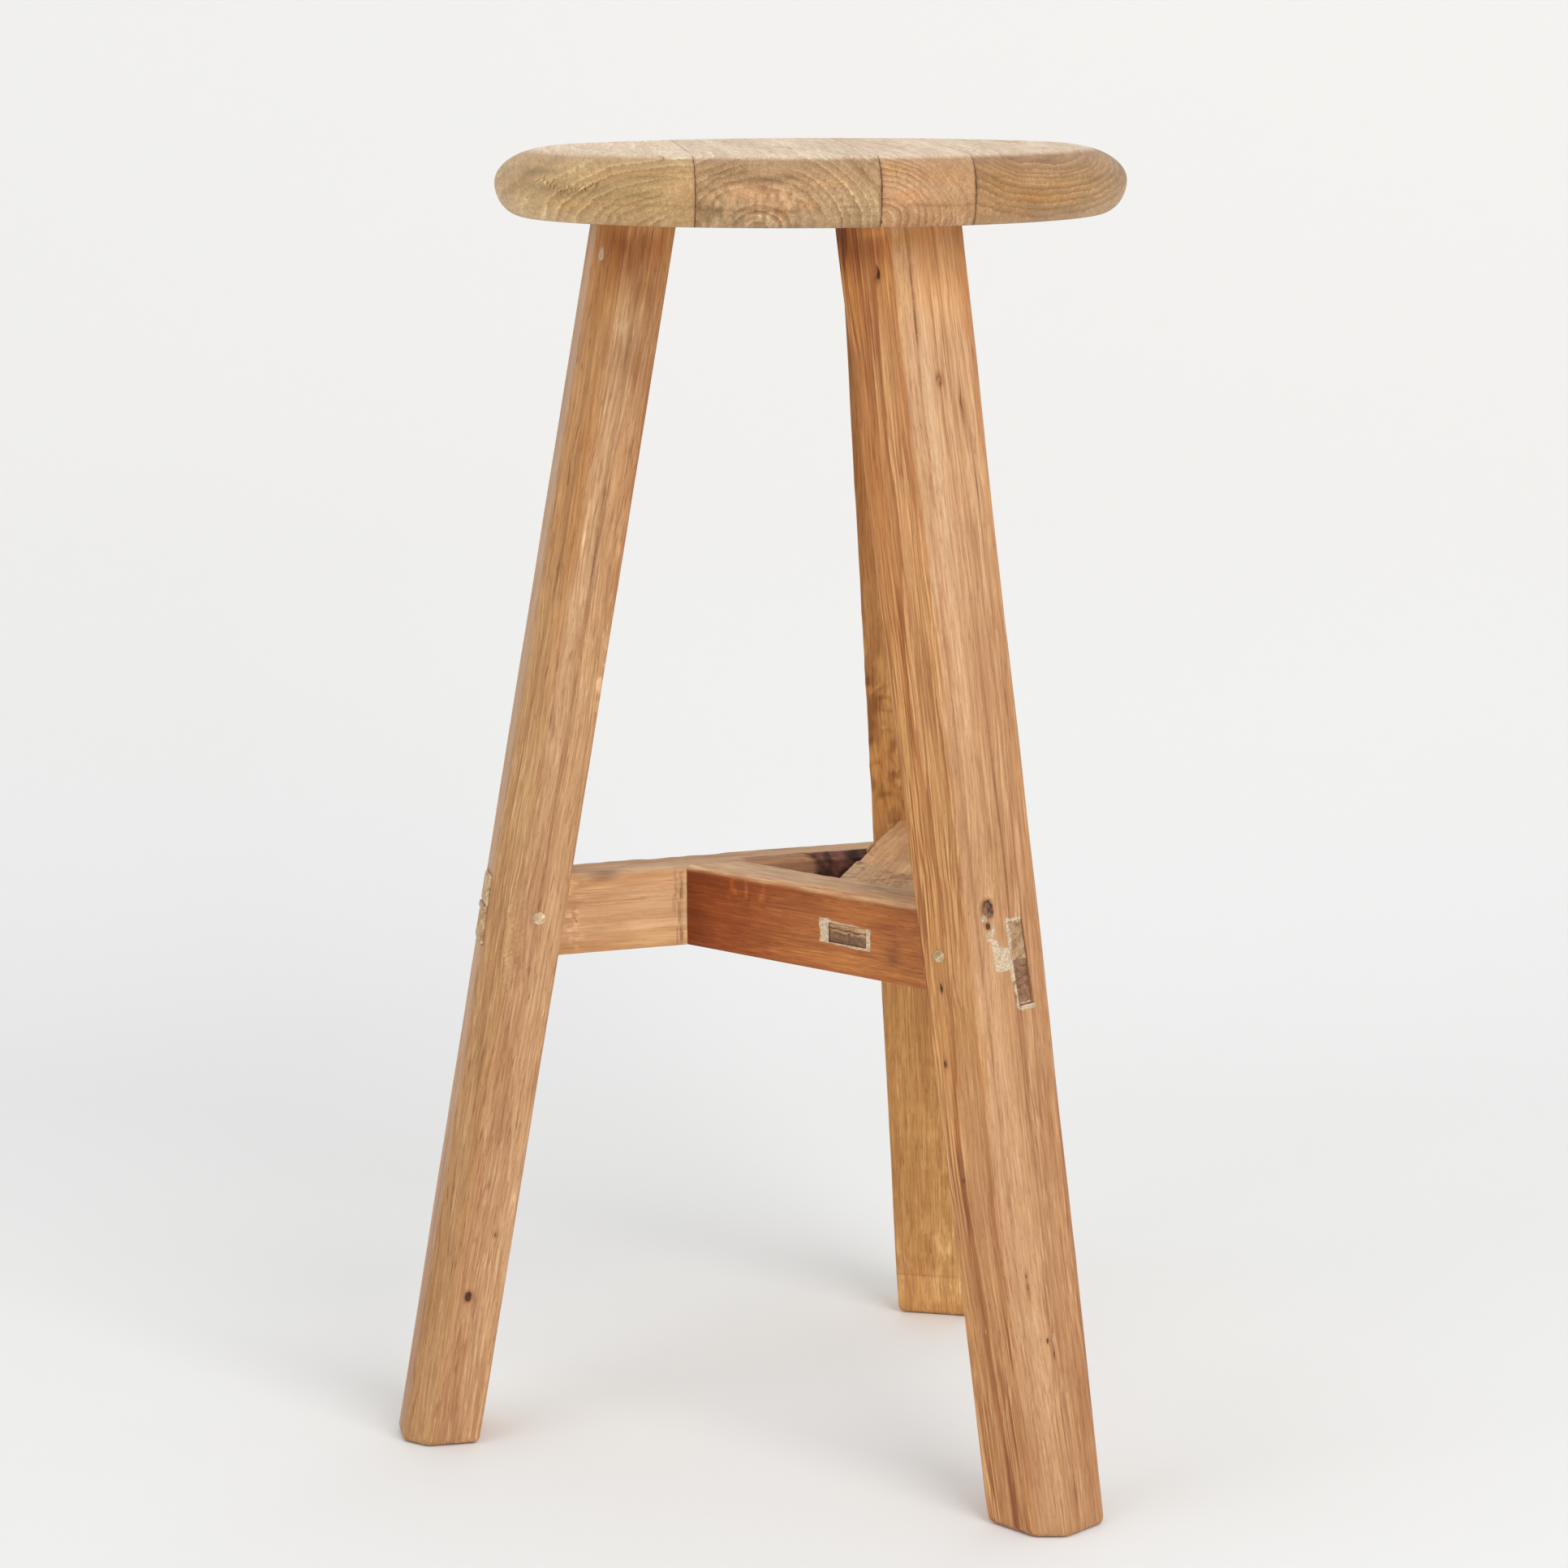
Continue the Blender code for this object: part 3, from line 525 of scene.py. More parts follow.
# ---------------------------------------------------------------- seat
def seat_profile():
    """Half section, from the axis on top round the bullnose to the axis below. The top ends in a slight arris."""
    mid = (TOP + UNDER) / 2
    up, down = TOP - mid, mid - UNDER
    pts = [(r, TOP) for r in np.linspace(0.004, SEAT_R - TOP_ROUND - 0.0006, 62)]
    t0 = math.radians(15)
    steps = 44
    for k in range(steps + 1):
        t = t0 + (math.pi / 2 - t0) * k / steps
        x = (math.sin(t) - math.sin(t0)) / (1 - math.sin(t0))
        z = math.cos(t) / math.cos(t0)
        pts.append((SEAT_R - TOP_ROUND * (1 - x), mid + up * z))
    for k in range(1, 29):
        t = math.pi / 2 * k / 28
        pts.append((SEAT_R - BOTTOM_ROUND * (1 - math.cos(t)), mid - down * math.sin(t)))
    pts += [(r, UNDER) for r in np.linspace(SEAT_R - BOTTOM_ROUND - 0.003, 0.004, 36)]
    return np.array(pts)


def seat_disc(name, around=1440):
    prof = seat_profile()
    a = np.linspace(0, 2 * math.pi, around, endpoint=False)
    r = prof[:, 0][:, None]
    z = np.repeat(prof[:, 1][:, None], around, 1)
    x, y = r * np.cos(a)[None], r * np.sin(a)[None]
    p = np.stack([x, y, z], -1)
    # hand-sanded unevenness: the rim wanders by a few tenths of a millimetre, the top dips a little
    rim = step(SEAT_R - 0.030, SEAT_R - 0.010, r)[..., None]
    n1 = fbm(p * 22.0, 3, 3)[..., None] - 0.5
    n2 = fbm(p * 9.0, 4, 2)[..., None] - 0.5
    out = np.stack([np.cos(a)[None].repeat(len(prof), 0), np.sin(a)[None].repeat(len(prof), 0), np.zeros_like(x)], -1)
    p = p + out * rim * (0.0005 - np.abs(n1) * 0.0007 - n2 * 0.0006)
    upper = (p[..., 2] > (TOP + UNDER) / 2)[..., None]
    p = p - np.array([0, 0, 1.0]) * np.where(upper, 0.00015 + np.abs(n2) * 0.0007 + np.abs(n1) * 0.0002, -0.0002)
    m = len(prof)
    co = np.concatenate([p.reshape(-1, 3), [[0, 0, p[0, :, 2].mean()]], [[0, 0, p[-1, :, 2].mean()]]])
    i = np.arange(m - 1)[:, None] * around
    j = np.arange(around)[None, :]
    k = (j + 1) % around
    quads = np.stack([i + j, i + around + j, i + around + k, i + k], -1).reshape(-1, 4).tolist()
    first, last = m * around, m * around + 1
    quads += [[first, a_, (a_ + 1) % around] for a_ in range(around)]
    quads += [[last, (m - 1) * around + (a_ + 1) % around, (m - 1) * around + a_] for a_ in range(around)]
    return to_object(name, co, quads)


ct, st = math.cos(TURN), math.sin(TURN)
ACROSS, ALONG = np.array([ct, st, 0.0]), np.array([-st, ct, 0.0])

# each board: its tone, where its pith lies across and up (mm), how flat its rings are, ring spacing (mm)
BOARDS = {
    1: dict(tone=srgb(197, 160, 110), pith=(-66.0, 617.0), flat=2.05, pitch=2.9, lo=-1.0, hi=JOINTS[0], seed=41),
    2: dict(tone=srgb(183, 147, 106), pith=(-35.0, 618.0), flat=1.32, pitch=3.1, lo=JOINTS[0], hi=JOINTS[1], seed=42),
    3: dict(tone=srgb(192, 148, 105), pith=(20.0, 621.0), flat=1.24, pitch=2.6, lo=JOINTS[1], hi=JOINTS[2], seed=43),
    4: dict(tone=srgb(176, 135, 89), pith=(106.0, 668.0), flat=1.60, pitch=2.7, lo=JOINTS[2], hi=1.0, seed=44),
}
seat_wood = {
    1: wood("elm_seat_1", pale_line=0.70, dark_line=0.36, fibre=0.72, streak=0.34, pores=0.40, rough=0.50, bump=0.75,
            flecks=0.30, comb=0.30, sparse=0.25),
    2: wood("elm_seat_2", pale_line=0.80, dark_line=0.38, fibre=0.78, streak=0.40, pores=0.45, rough=0.50, bump=0.80,
            flecks=0.40, comb=0.35, sparse=0.30),
    3: wood("elm_seat_3", pale_line=0.55, dark_line=0.50, fibre=0.74, streak=0.34, pores=0.42, rough=0.50, bump=0.80,
            late=(0.70, 0.58, 0.48), flecks=0.35, comb=0.30, sparse=0.25),
    4: wood("elm_seat_4", pale_line=0.95, dark_line=0.50, fibre=0.72, streak=0.34, pores=0.42, rough=0.50, bump=0.75,
            flecks=0.30, comb=0.30, sparse=0.20),
}

disc = seat_disc("seat_disc")
for i, spec in BOARDS.items():
    board = bpy.data.objects.new(f"seat_board_{i}_wood", disc.data.copy())
    bpy.context.scene.collection.objects.link(board)
    lo = spec["lo"] + 0.00007 if i > 1 else -0.2
    hi = spec["hi"] - 0.00007 if i < 4 else 0.2
    keep = block("keep", ACROSS * (lo + hi) / 2 + np.array([0, 0, (TOP + UNDER) / 2]), ACROSS, ALONG,
                 np.array([0, 0, 1.0]), (hi - lo, 0.40, 0.10))
    cut(board, [keep], "INTERSECT")
    p = points(board)
    # the arrises along the glue lines are just broken
    b, a, z = p @ ACROSS, p @ ALONG, p[:, 2]
    x_mm, z_mm = b * 1000, z * 1000
    pb, pz = spec["pith"]
    seed = spec["seed"]
    wander = (fbm(np.stack([a * 5, b * 6, z * 6], -1), seed, 2) - 0.5) * 9.0 * step(-0.075, -0.02, a)
    ripple = (fbm(np.stack([a * 18, b * 60, z * 60], -1), seed + 1, 2) - 0.5) * 2.6
    dx = (b * 1000 - pb + wander) / spec["flat"]
    dz = z * 1000 - pz + wander * 0.4 + (noise(np.stack([a * 4, b * 0, z * 0], -1), seed + 2) - 0.5) * 14 * step(-0.075, -0.02, a)
    dist = np.sqrt(dx ** 2 + dz ** 2 + 4.0) + ripple
    # ring widths vary from year to year
    ring = dist / spec["pitch"] + 1.3 * line_noise(dist * 0.09, seed, 2)
    tone = np.repeat(spec["tone"][None], len(p), 0)
    front = step(0.02, -0.05, a)
    blotch = fbm(np.stack([a * 14, b * 24, z * 40], -1), seed + 5, 3) - 0.5
    tone *= (1 + 0.45 * blotch[:, None] * np.array([0.55, 0.8, 1.05]))
    olive = step(0.52, 0.72, fbm(np.stack([a * 10, b * 20, z * 110], -1), seed + 6, 3))
    tone *= 1 - olive[:, None] * np.array([0.17, 0.15, 0.17])
    # the lower edge of the rim is paler
    tone *= 1 + step(627, 620, z_mm)[:, None] * np.array([0.05, 0.06, 0.08])

    def smear(cx, cz, rx, rz, gain):
        global tone
        w = np.exp(-((x_mm - cx) / rx) ** 2 - ((z_mm - cz) / rz) ** 2) * front
        tone *= 1 + w[:, None] * (np.array(gain) - 1)

    # painted sheen: the flat top is blended towards a pale colour, in place of the grazing reflection on it
    top_face_sheen = step(TOP - 0.0024, TOP - 0.0005, z)
    tone = tone * (1 - top_face_sheen[:, None]) + top_face_sheen[:, None] * (0.25 * tone + 0.75 * srgb(244, 220, 190))
    hole = np.full(len(p), FAR)
    if i == 1:
        for cx, cz, rx, rz, gain in ((-138, 641.5, 7, 2.2, (0.74, 0.78, 0.74)), (-129, 642.5, 7, 1.4, (0.78, 0.80, 0.76)),
                                     (-135.5, 635.5, 6, 2.2, (0.78, 0.80, 0.74)), (-122, 627.5, 7, 2.4, (1.05, 1.00, 0.78)),
                                     (-122, 632.5, 9, 2.0, (0.84, 0.84, 0.76)), (-78, 644.6, 17, 0.8, (0.80, 0.79, 0.72)),
                                     (-76, 641.5, 14, 0.6, (0.80, 0.79, 0.70)), (-92, 632.6, 9, 1.5, (0.80, 0.80, 0.66)),
                                     (-101, 630.6, 7, 1.0, (0.84, 0.83, 0.70)), (-84, 628.6, 22, 0.8, (0.78, 0.78, 0.64)),
                                     (-112, 640.0, 8, 2.5, (1.05, 1.04, 0.98)), (-80, 637.0, 12, 2.0, (1.08, 1.05, 0.98))):
            smear(cx, cz, rx, rz, gain)
        # short rippled cracks across the rings, each with a pale lip
        for k in range(15):
            cx, cz = -134.5 + k * 1.85, 638.6 - 4.0 * math.sin(math.pi * k / 16) + 0.5 * math.sin(k * 2.1)
            q = np.stack([x_mm - cx - 0.45 * np.sin((z_mm - cz) * 2.2 + k), z_mm - cz], -1)
            u = q[:, 0] * 0.60 + q[:, 1] * 0.80
            v = -q[:, 0] * 0.80 + q[:, 1] * 0.60
            long_ = 0.9 + 1.1 * abs(math.sin(k * 1.7))
            d = np.sqrt(np.maximum(np.abs(u) - long_, 0) ** 2 + (v * 1.25) ** 2) - (0.13 if 2 < k < 15 else 0.03)
            hole = np.where(a < -0.03, np.minimum(hole, d), hole)
            lip = np.exp(-(np.maximum(np.abs(u) - long_, 0) ** 2 + (v - 0.75) ** 2) / 0.25) * front
            tone *= 1 + lip[:, None] * np.array([0.42, 0.48, 0.52])
    if i == 2:
        for cx, cz, rx, rz, gain in ((-50, 643.8, 9, 1.2, (0.80, 0.78, 0.74)), (-31, 641.0, 12, 1.4, (0.64, 0.63, 0.60)),
                                     (-20, 642.0, 5, 1.6, (0.84, 0.82, 0.78)), (-34, 633.0, 14, 5.0, (1.10, 0.96, 0.92)),
                                     (-35, 626.8, 24, 1.1, (0.68, 0.58, 0.52)), (-24, 625.0, 4, 2.2, (0.88, 0.70, 0.58)),
                                     (-14, 629.5, 5, 1.6, (1.12, 0.94, 0.86)), (-45, 637.8, 14, 0.8, (1.10, 1.10, 1.04)),
                                     (-2, 639.5, 12, 1.2, (1.10, 1.06, 0.96)), (2, 636.8, 10, 0.9, (0.86, 0.82, 0.82)),
                                     (8, 628.3, 12, 0.6, (0.74, 0.70, 0.64)), (10, 624.5, 9, 1.6, (0.86, 0.86, 0.74)),
                                     (14, 634.0, 7, 3.0, (0.90, 0.92, 0.84)), (-50, 647.2, 13, 1.2, (1.04, 0.98, 0.88))):
            smear(cx, cz, rx, rz, gain)
        rough_band = step(639.0, 637.5, z_mm) * step(0.02, -0.05, a) * step(-12, -16, x_mm)
        tone *= 1 + (rough_band * (noise(np.stack([b * 520, z * 300, a * 0], -1), 15) - 0.5))[:, None] * np.array([0.60, 0.64, 0.70])
    if i == 3:
        for cx, cz, rx, rz, gain in ((52, 628.4, 14, 0.8, (0.80, 0.70, 0.62)), (36, 628.9, 10, 0.7, (0.82, 0.72, 0.66)),
                                     (34, 633.0, 8, 3.5, (1.10, 0.96, 0.88)), (27, 645.5, 6, 2.4, (1.06, 1.00, 0.78)),
                                     (52, 641.0, 9, 2.2, (1.05, 0.98, 0.88)), (48, 623.0, 12, 2.4, (1.06, 1.00, 0.94))):
            smear(cx, cz, rx, rz, gain)
    if i == 4:
        for cx, cz, rx, rz, gain in ((103, 647.0, 6, 1.0, (0.70, 0.68, 0.66)), (86, 648.4, 6, 0.8, (0.76, 0.72, 0.68)),
                                     (107, 624.6, 12, 1.2, (0.70, 0.70, 0.60)), (126, 628.0, 7, 1.2, (0.80, 0.80, 0.72)),
                                     (78, 636.0, 7, 2.0, (1.10, 0.96, 0.72)), (92, 631.5, 10, 2.2, (1.08, 0.94, 0.72)),
                                     (108, 629.6, 9, 1.6, (1.10, 0.98, 0.70)), (76, 640.5, 6, 1.0, (0.82, 0.78, 0.66)),
                                     (112, 637.0, 12, 2.0, (1.10, 1.05, 0.98)), (138, 636, 7, 6, (0.90, 0.90, 0.86)),
                                     (120, 643.0, 8, 1.2, (0.84, 0.82, 0.78))):
            smear(cx, cz, rx, rz, gain)
    # dark glue lines, and dark checks in the top
    near = np.minimum(np.abs(b - spec["lo"]) if i > 1 else 1.0, np.abs(b - spec["hi"]) if i < 4 else 1.0) * 1000
    open_ = 0.01 + 0.19 * fbm(np.stack([a * 40, z * 90, b * 0], -1), 71, 2) - 0.20 * step(TOP - 0.002, TOP - 0.0005, z)
    hole = np.minimum(hole, near - open_)
    rng = np.random.default_rng(600 + i)
    checks = {1: 4, 2: 7, 3: 9, 4: 6}[i]
    for k in range(checks):
        cx = rng.uniform(max(spec["lo"], -0.120) + 0.006, min(spec["hi"], 0.120) - 0.006) * 1000
        cy = rng.uniform(-118, 110)
        slant, half = rng.uniform(-0.5, 0.1), rng.uniform(5, 15)
        u = a * 1000 - cy
        v = x_mm - cx - slant * u - 0.7 * np.sin(u * 0.35 + k)
        d = np.sqrt(np.maximum(np.abs(u) - half * 0.7, 0) ** 2 + v ** 2) - 0.05
        hole = np.where(z > TOP - 0.003, np.minimum(hole, d), hole)
        red = np.exp(-(np.maximum(np.abs(u) - half * 1.6, 0) / 3.0) ** 2 - (v / 1.3) ** 2) * top_face_sheen
        tone *= 1 - red[:, None] * np.array([0.07, 0.15, 0.20])
    contrast = 0.25 + 1.0 * step(0.34, 0.60, fbm(np.stack([a * 8, b * 32, z * 60], -1), seed + 9, 2))
    if i == 4:
        contrast = np.maximum(contrast, 0.95)
    # the rings are toned down on the top, under the painted sheen
    contrast = contrast * (1 - 0.45 * top_face_sheen)
    dirt_and_shade = 0.55 * step(0.0022, 0.0, z - UNDER) * fbm(p * 60, seed, 2)
    dress(board, seat_wood[i], tone, np.stack([a, b, z], -1), ring, contrast, hole=hole, dirt_and_shade=dirt_and_shade,
          node=f"seat_board_{i}", smooth_angle=42)
bpy.data.objects.remove(disc, do_unlink=True)


# ---------------------------------------------------------------- legs
def leg_frame(spec, z):
    """Centre, outward direction and side direction of the leg at each height."""
    s = 1.0 - np.asarray(z, float) / UNDER
    top, foot = polar(spec["top"]), polar(spec["foot"])
    c = top[None] + (foot - top)[None] * s[:, None]
    ang = np.radians(spec["face"][0] + (spec["face"][1] - spec["face"][0]) * s)
    f = np.stack([np.cos(ang), np.sin(ang)], -1)
    side = np.stack([f[:, 1], -f[:, 0]], -1)
    return s, c, f, side


def leg_axis(spec):
    top, foot = polar(spec["top"]), polar(spec["foot"])
    v = np.array([*(top - foot), UNDER])
    return v / np.linalg.norm(v)


def leg_local(spec, p):
    s, c, f, side = leg_frame(spec, p[:, 2])
    d = p[:, :2] - c
    axis = leg_axis(spec)
    return p[:, 2] / axis[2], (d * f).sum(1), (d * side).sum(1)


def build_leg(name, spec):
    seed = spec["seed"]
    heights = np.concatenate([np.linspace(0.0, 0.004, 7)[:-1], np.linspace(0.004, UNDER - 0.0002, 560)])
    s, c, f, side = leg_frame(spec, heights)
    pitch = dict(arc=[5, 5, 5, 5, 5, 5], side=[10, 22, 34, 22, 10, 20])
    wob = [line_noise(heights * 6.0, seed + k, 2) for k in range(6)]
    tight = [line_noise(heights * 24.0, seed + 20 + k, 2) for k in range(6)]
    rings = []
    for k, z in enumerate(heights):
        t = s[k]
        A = spec["half_top"][0] + (spec["half_foot"][0] - spec["half_top"][0]) * t
        B = spec["half_top"][1] + (spec["half_foot"][1] - spec["half_top"][1]) * t
        h, hh = (c_[0] + (c_[1] - c_[0]) * t for c_ in spec["chamfer"])
        # hand-shaved faces wander a little
        a0 = A + 0.0005 - 0.0004 * wob[0][k]
        a1 = A + 0.0005 - 0.0004 * wob[1][k]
        b0 = B + 0.0005 - 0.0004 * wob[2][k] - 0.00022 * tight[2][k]
        b1 = B + 0.0005 - 0.0004 * wob[3][k] - 0.00022 * tight[3][k]
        h0, h1 = h * (1 + 0.10 * wob[4][k] + 0.06 * tight[4][k]), hh * (1 + 0.10 * wob[5][k] + 0.06 * tight[5][k])
        corners = [(a0, b0 - h0), (a0 - h0, b0), (-a1, b0), (-a1, -b1), (a0 - h1, -b1), (a0, -b1 + h1)]
        worn = 0.0016 + 0.0009 * abs(tight[0][k])
        soft, soft2 = min(0.0040 + 0.0022 * t, h0 * 0.62), min(0.0040 + 0.0022 * t, h1 * 0.62)
        o = outline(corners, [soft, soft, worn, worn, soft2, soft2], pitch)
        # the sole is rounded over
        e = max(0.0, 1 - z / 0.0040)
        shrink = 0.0027 * (1 - math.sqrt(max(0.0, 1 - e * e)))
        o = o * (1 - shrink / 0.019)
        xy = c[k][None] + o[:, :1] * f[k][None] + o[:, 1:] * side[k][None]
        rings.append(np.concatenate([xy, np.full((len(o), 1), z)], 1))
    leg = tube(name + "_wood", rings)
    return leg


def mortise_tool(bar, grow=0.00035):
    u, n = heading(bar["heading"])
    leg = LEGS[bar["leg"]]
    zs = bar.get("shown_z", bar["tenon_z"])
    z = (zs[0] + zs[1]) / 2
    c = np.array([*(leg_frame(leg, np.array([z]))[1][0]), z])
    reach = c @ u
    ns = bar.get("shown_n", bar["tenon"])
    mid = u * reach + n * (ns[0] + ns[1]) / 2 + np.array([0, 0, z])
    return block("mortise", mid, u, n, np.array([0, 0, 1.0]), (0.13, ns[1] - ns[0] + 2 * grow, zs[1] - zs[0] + 2 * grow))


def leg_outer_plane(spec, z):
    """A point on the leg's outer face at a height, and the face's outward normal."""
    s, c, f, side = leg_frame(spec, np.array([z]))
    A = spec["half_top"][0] + (spec["half_foot"][0] - spec["half_top"][0]) * s[0]
    p = np.array([*(c[0] + f[0] * (A + 0.0003)), z])
    top, foot = polar(spec["top"]), polar(spec["foot"])
    along = np.array([*(top + f[0] * spec["half_top"][0] - foot - f[0] * spec["half_foot"][0]), UNDER])
    along /= np.linalg.norm(along)
    n = np.cross(np.array([*side[0], 0.0]), along)
    n /= np.linalg.norm(n)
    return p, n if n[:2] @ f[0] > 0 else -n


leg_wood = {
    "leg_left": wood("elm_leg_left", pale_line=0.40, dark_line=0.38, fibre=1.00, streak=0.26, pores=0.50, rough=0.50,
                     bump=0.65, late=(0.76, 0.62, 0.50), flecks=1.00, comb=0.40, sparse=0.45, lines=(20.0, 860.0)),
    "leg_right": wood("elm_leg_right", pale_line=0.40, dark_line=0.46, fibre=0.78, streak=0.26, pores=0.45, rough=0.48,
                      bump=0.80, late=(0.74, 0.58, 0.44), flecks=0.60, comb=0.74, sparse=0.40, lines=(18.0, 820.0)),
    "leg_back": wood("elm_leg_back", pale_line=0.25, dark_line=0.25, fibre=0.95, streak=0.22, pores=0.50, rough=0.54,
                     bump=0.65, late=(0.76, 0.62, 0.50), flecks=0.70, comb=0.26, sparse=0.5, lines=(24.0, 860.0)),
}
LEG_LOOK = {
    # pith across the section (mm), ring spacing (mm), tones low and high
    "leg_left": dict(pith=(4.0, 46.0), pitch=2.6, low=srgb(191, 144, 102), high=srgb(193, 147, 103)),
    "leg_right": dict(pith=(-22.0, -30.0), pitch=2.9, low=srgb(195, 142, 97), high=srgb(199, 146, 99)),
    "leg_back": dict(pith=(30.0, 18.0), pitch=2.7, low=srgb(186, 134, 81), high=srgb(181, 129, 77)),
}

for name, spec in LEGS.items():
    look = LEG_LOOK[name]
    seed = spec["seed"]
    axis = leg_axis(spec)
    leg = build_leg(name, spec)
    p = points(leg)
    along, fb, sc = leg_local(spec, p)
    z = p[:, 2]
    s, c2, f2, s2 = leg_frame(spec, z)
    radial = np.stack([fb, sc], -1)
    radial /= np.maximum(np.linalg.norm(radial, axis=1), 1e-6)[:, None]
    out3 = np.concatenate([f2 * radial[:, :1] + s2 * radial[:, 1:], np.zeros((len(p), 1))], 1)
    # shallow tool and grain relief in the surface itself
    groove = fbm(np.stack([along * 7, fb * 260, sc * 260], -1), seed + 3, 2) - 0.5
    flats = fbm(np.stack([along * 20, fb * 40, sc * 40], -1), seed + 4, 2) - 0.5
    depth = -0.00030 * np.abs(groove) - 0.00035 * np.abs(flats)
    dents = []
    if name == "leg_right":
        dents = [((31.4, -88.7, 594.1), 3.2, 1.5, 2.6), ((82.8, -141.5, 297.4), 4.6, 2.6, 4.2), ((82.8, -143.0, 290.2), 2.0, 1.6, 2.6),
                 ((60.9, -130.8, 256.7), 3.2, 1.4, 1.8), ((63.3, -134.5, 220.5), 2.2, 1.2, 1.2), ((71.6, -144.8, 165.5), 2.4, 1.2, 1.2),
                 ((101.7, -169.2, 120.5), 3.0, 1.4, 1.3), ((113.7, -166.1, 93.3), 2.8, 1.5, 1.2), ((109.5, -167.5, 93.0), 1.6, 1.3, 0.9),
                 ((71.1, -91.0, 533.5), 3.6, 1.5, 0.8), ((60.4, -98.9, 544.6), 2.2, 1.1, 0.4)]
    if name == "leg_left":
        dents = [((-174.8, -51.7, 77.8), 2.8, 2.0, 2.2), ((-101.0, -35.0, 599.8), 4.0, 2.2, 0.5)]
        zone = glow(p, (-149.5, -46.5, 262.0), axis, 26.0, 7.0)
        depth = depth - 0.00035 * zone * (0.5 + 0.5 * np.sin(along * 1000 * 2 * math.pi / 3.4 + 1.5 * np.sin(sc * 900)))
    if name == "leg_back":
        zone = step(0.27, 0.31, z) * step(0.46, 0.38, z)
        depth = depth - 0.0008 * zone * np.abs(fbm(np.stack([along * 45, fb * 90, sc * 90], -1), 77, 3) - 0.5) * 2
    for centre, ra, rc, deep in dents:
        w = glow(p, centre, axis, ra, rc)
        depth = depth - 0.001 * deep * w
    keep_ends = step(0.0, 0.004, z) * step(UNDER, UNDER - 0.003, z)
    set_points(leg, p + out3 * (depth * keep_ends)[:, None])
    bar = next(b for b in BARS.values() if b["leg"] == name)
    cut(leg, [mortise_tool(bar)])

    p = points(leg)
    along, fb, sc = leg_local(spec, p)
    z = p[:, 2]
    h01 = z / UNDER
    sway = (fbm(np.stack([along * 3.0, along * 0, along * 0], -1), seed + 5, 2) - 0.5) * 9.0
    swirl = (fbm(np.stack([along * 7, fb * 34, sc * 34], -1), seed + 6, 2) - 0.5) * 5.0
    pf, ps = look["pith"]
    dist = np.hypot(fb * 1000 - pf - sway * 0.3, sc * 1000 - ps - sway) + swirl
    ring = dist / look["pitch"] + 0.9 * line_noise(dist * 0.10, seed, 2)
    tone = look["low"][None] + (look["high"] - look["low"])[None] * step(0.2, 0.8, h01)[:, None]
    cloud = fbm(np.stack([along * 9, fb * 60, sc * 60], -1), seed + 7, 3) - 0.5
    tone = tone * (1 + cloud[:, None] * np.array([0.26, 0.36, 0.50]))
    ruddy = step(0.50, 0.72, fbm(np.stack([along * 6, fb * 75, sc * 75], -1), seed + 8, 2))
    tone = tone * (1 - ruddy[:, None] * np.array([0.04, 0.10, 0.16]))
    pale = step(0.58, 0.76, fbm(np.stack([along * 8, fb * 95, sc * 95], -1), seed + 9, 2))
    tone = tone * (1 + pale[:, None] * np.array([0.10, 0.15, 0.20]))
    # the shape's own facets: the worn corners and faces differ in tone
    s = 1.0 - z / UNDER
    half_a = spec["half_top"][0] + (spec["half_foot"][0] - spec["half_top"][0]) * s
    half_b = spec["half_top"][1] + (spec["half_foot"][1] - spec["half_top"][1]) * s
    cut_s = spec["chamfer"][0][0] + (spec["chamfer"][0][1] - spec["chamfer"][0][0]) * s
    cut_m = spec["chamfer"][1][0] + (spec["chamfer"][1][1] - spec["chamfer"][1][0]) * s
    wavy = 0.0014 * (fbm(np.stack([along * 26, along * 0, along * 0], -1), seed + 40, 3) - 0.5) * 2
    high_part = step(0.36, 0.50, z)[:, None]

    def facet(weight, high_gain, low_gain=None):
        global tone
        gain = np.array(high_gain) * high_part + np.array(low_gain or high_gain) * (1 - high_part)
        tone = tone * (1 + weight[:, None] * (gain - 1))

    if name == "leg_right":
        plane_s = step(0.0016, 0.0004, half_b - sc)
        ridge_w = step(-0.0016, 0.0010, fb - (half_a - cut_s) + wavy) * step(-0.0016, 0.0010, sc - (half_b - cut_s) + wavy)
        face_w = step(0.0016, 0.0004, half_a - fb) * (1 - ridge_w)
        plane_s = plane_s * (1 - ridge_w)
        facet(plane_s * step(0.004, -0.012, fb), (0.90, 0.78, 0.58), (0.99, 0.95, 0.80))
        facet(plane_s * step(-0.008, 0.006, fb), (1.06, 1.02, 0.92), (1.00, 0.96, 0.86))
        facet(ridge_w, (1.12, 1.32, 1.60), (1.00, 1.07, 1.13))
        facet(face_w * step(-0.016, -0.010, sc), (1.10, 1.20, 1.34), (0.95, 0.96, 0.95))
        facet(face_w * step(-0.010, -0.018, sc), (1.03, 1.02, 1.00), (0.95, 0.92, 0.86))
        facet(plane_s * step(0.16, 0.23, z), (1.00, 0.99, 0.93), (1.06, 1.08, 1.00))
        facet(plane_s * step(0.15, 0.07, z), (1.00, 1.00, 1.00), (0.98, 0.96, 0.92))
    if name == "leg_left":
        near = step(-0.004, -0.012, sc)
        strip = near * step(0.0040, 0.0075, fb + wavy) * step(-0.0005, 0.0012, half_a - fb)
        middle = near * step(0.0060, 0.0035, fb + wavy) * step(-0.0085, -0.0060, fb + wavy)
        right_strip = near * step(-0.0055, -0.0085, fb + wavy)
        outer_strip = step(0.0010, 0.0002, half_a - fb)
        facet(strip, (0.92, 0.84, 0.66), (0.92, 0.94, 0.84))
        facet(middle, (1.00, 1.02, 1.04), (0.96, 0.96, 0.96))
        facet(right_strip, (1.02, 0.98, 0.92), (1.00, 1.00, 0.98))
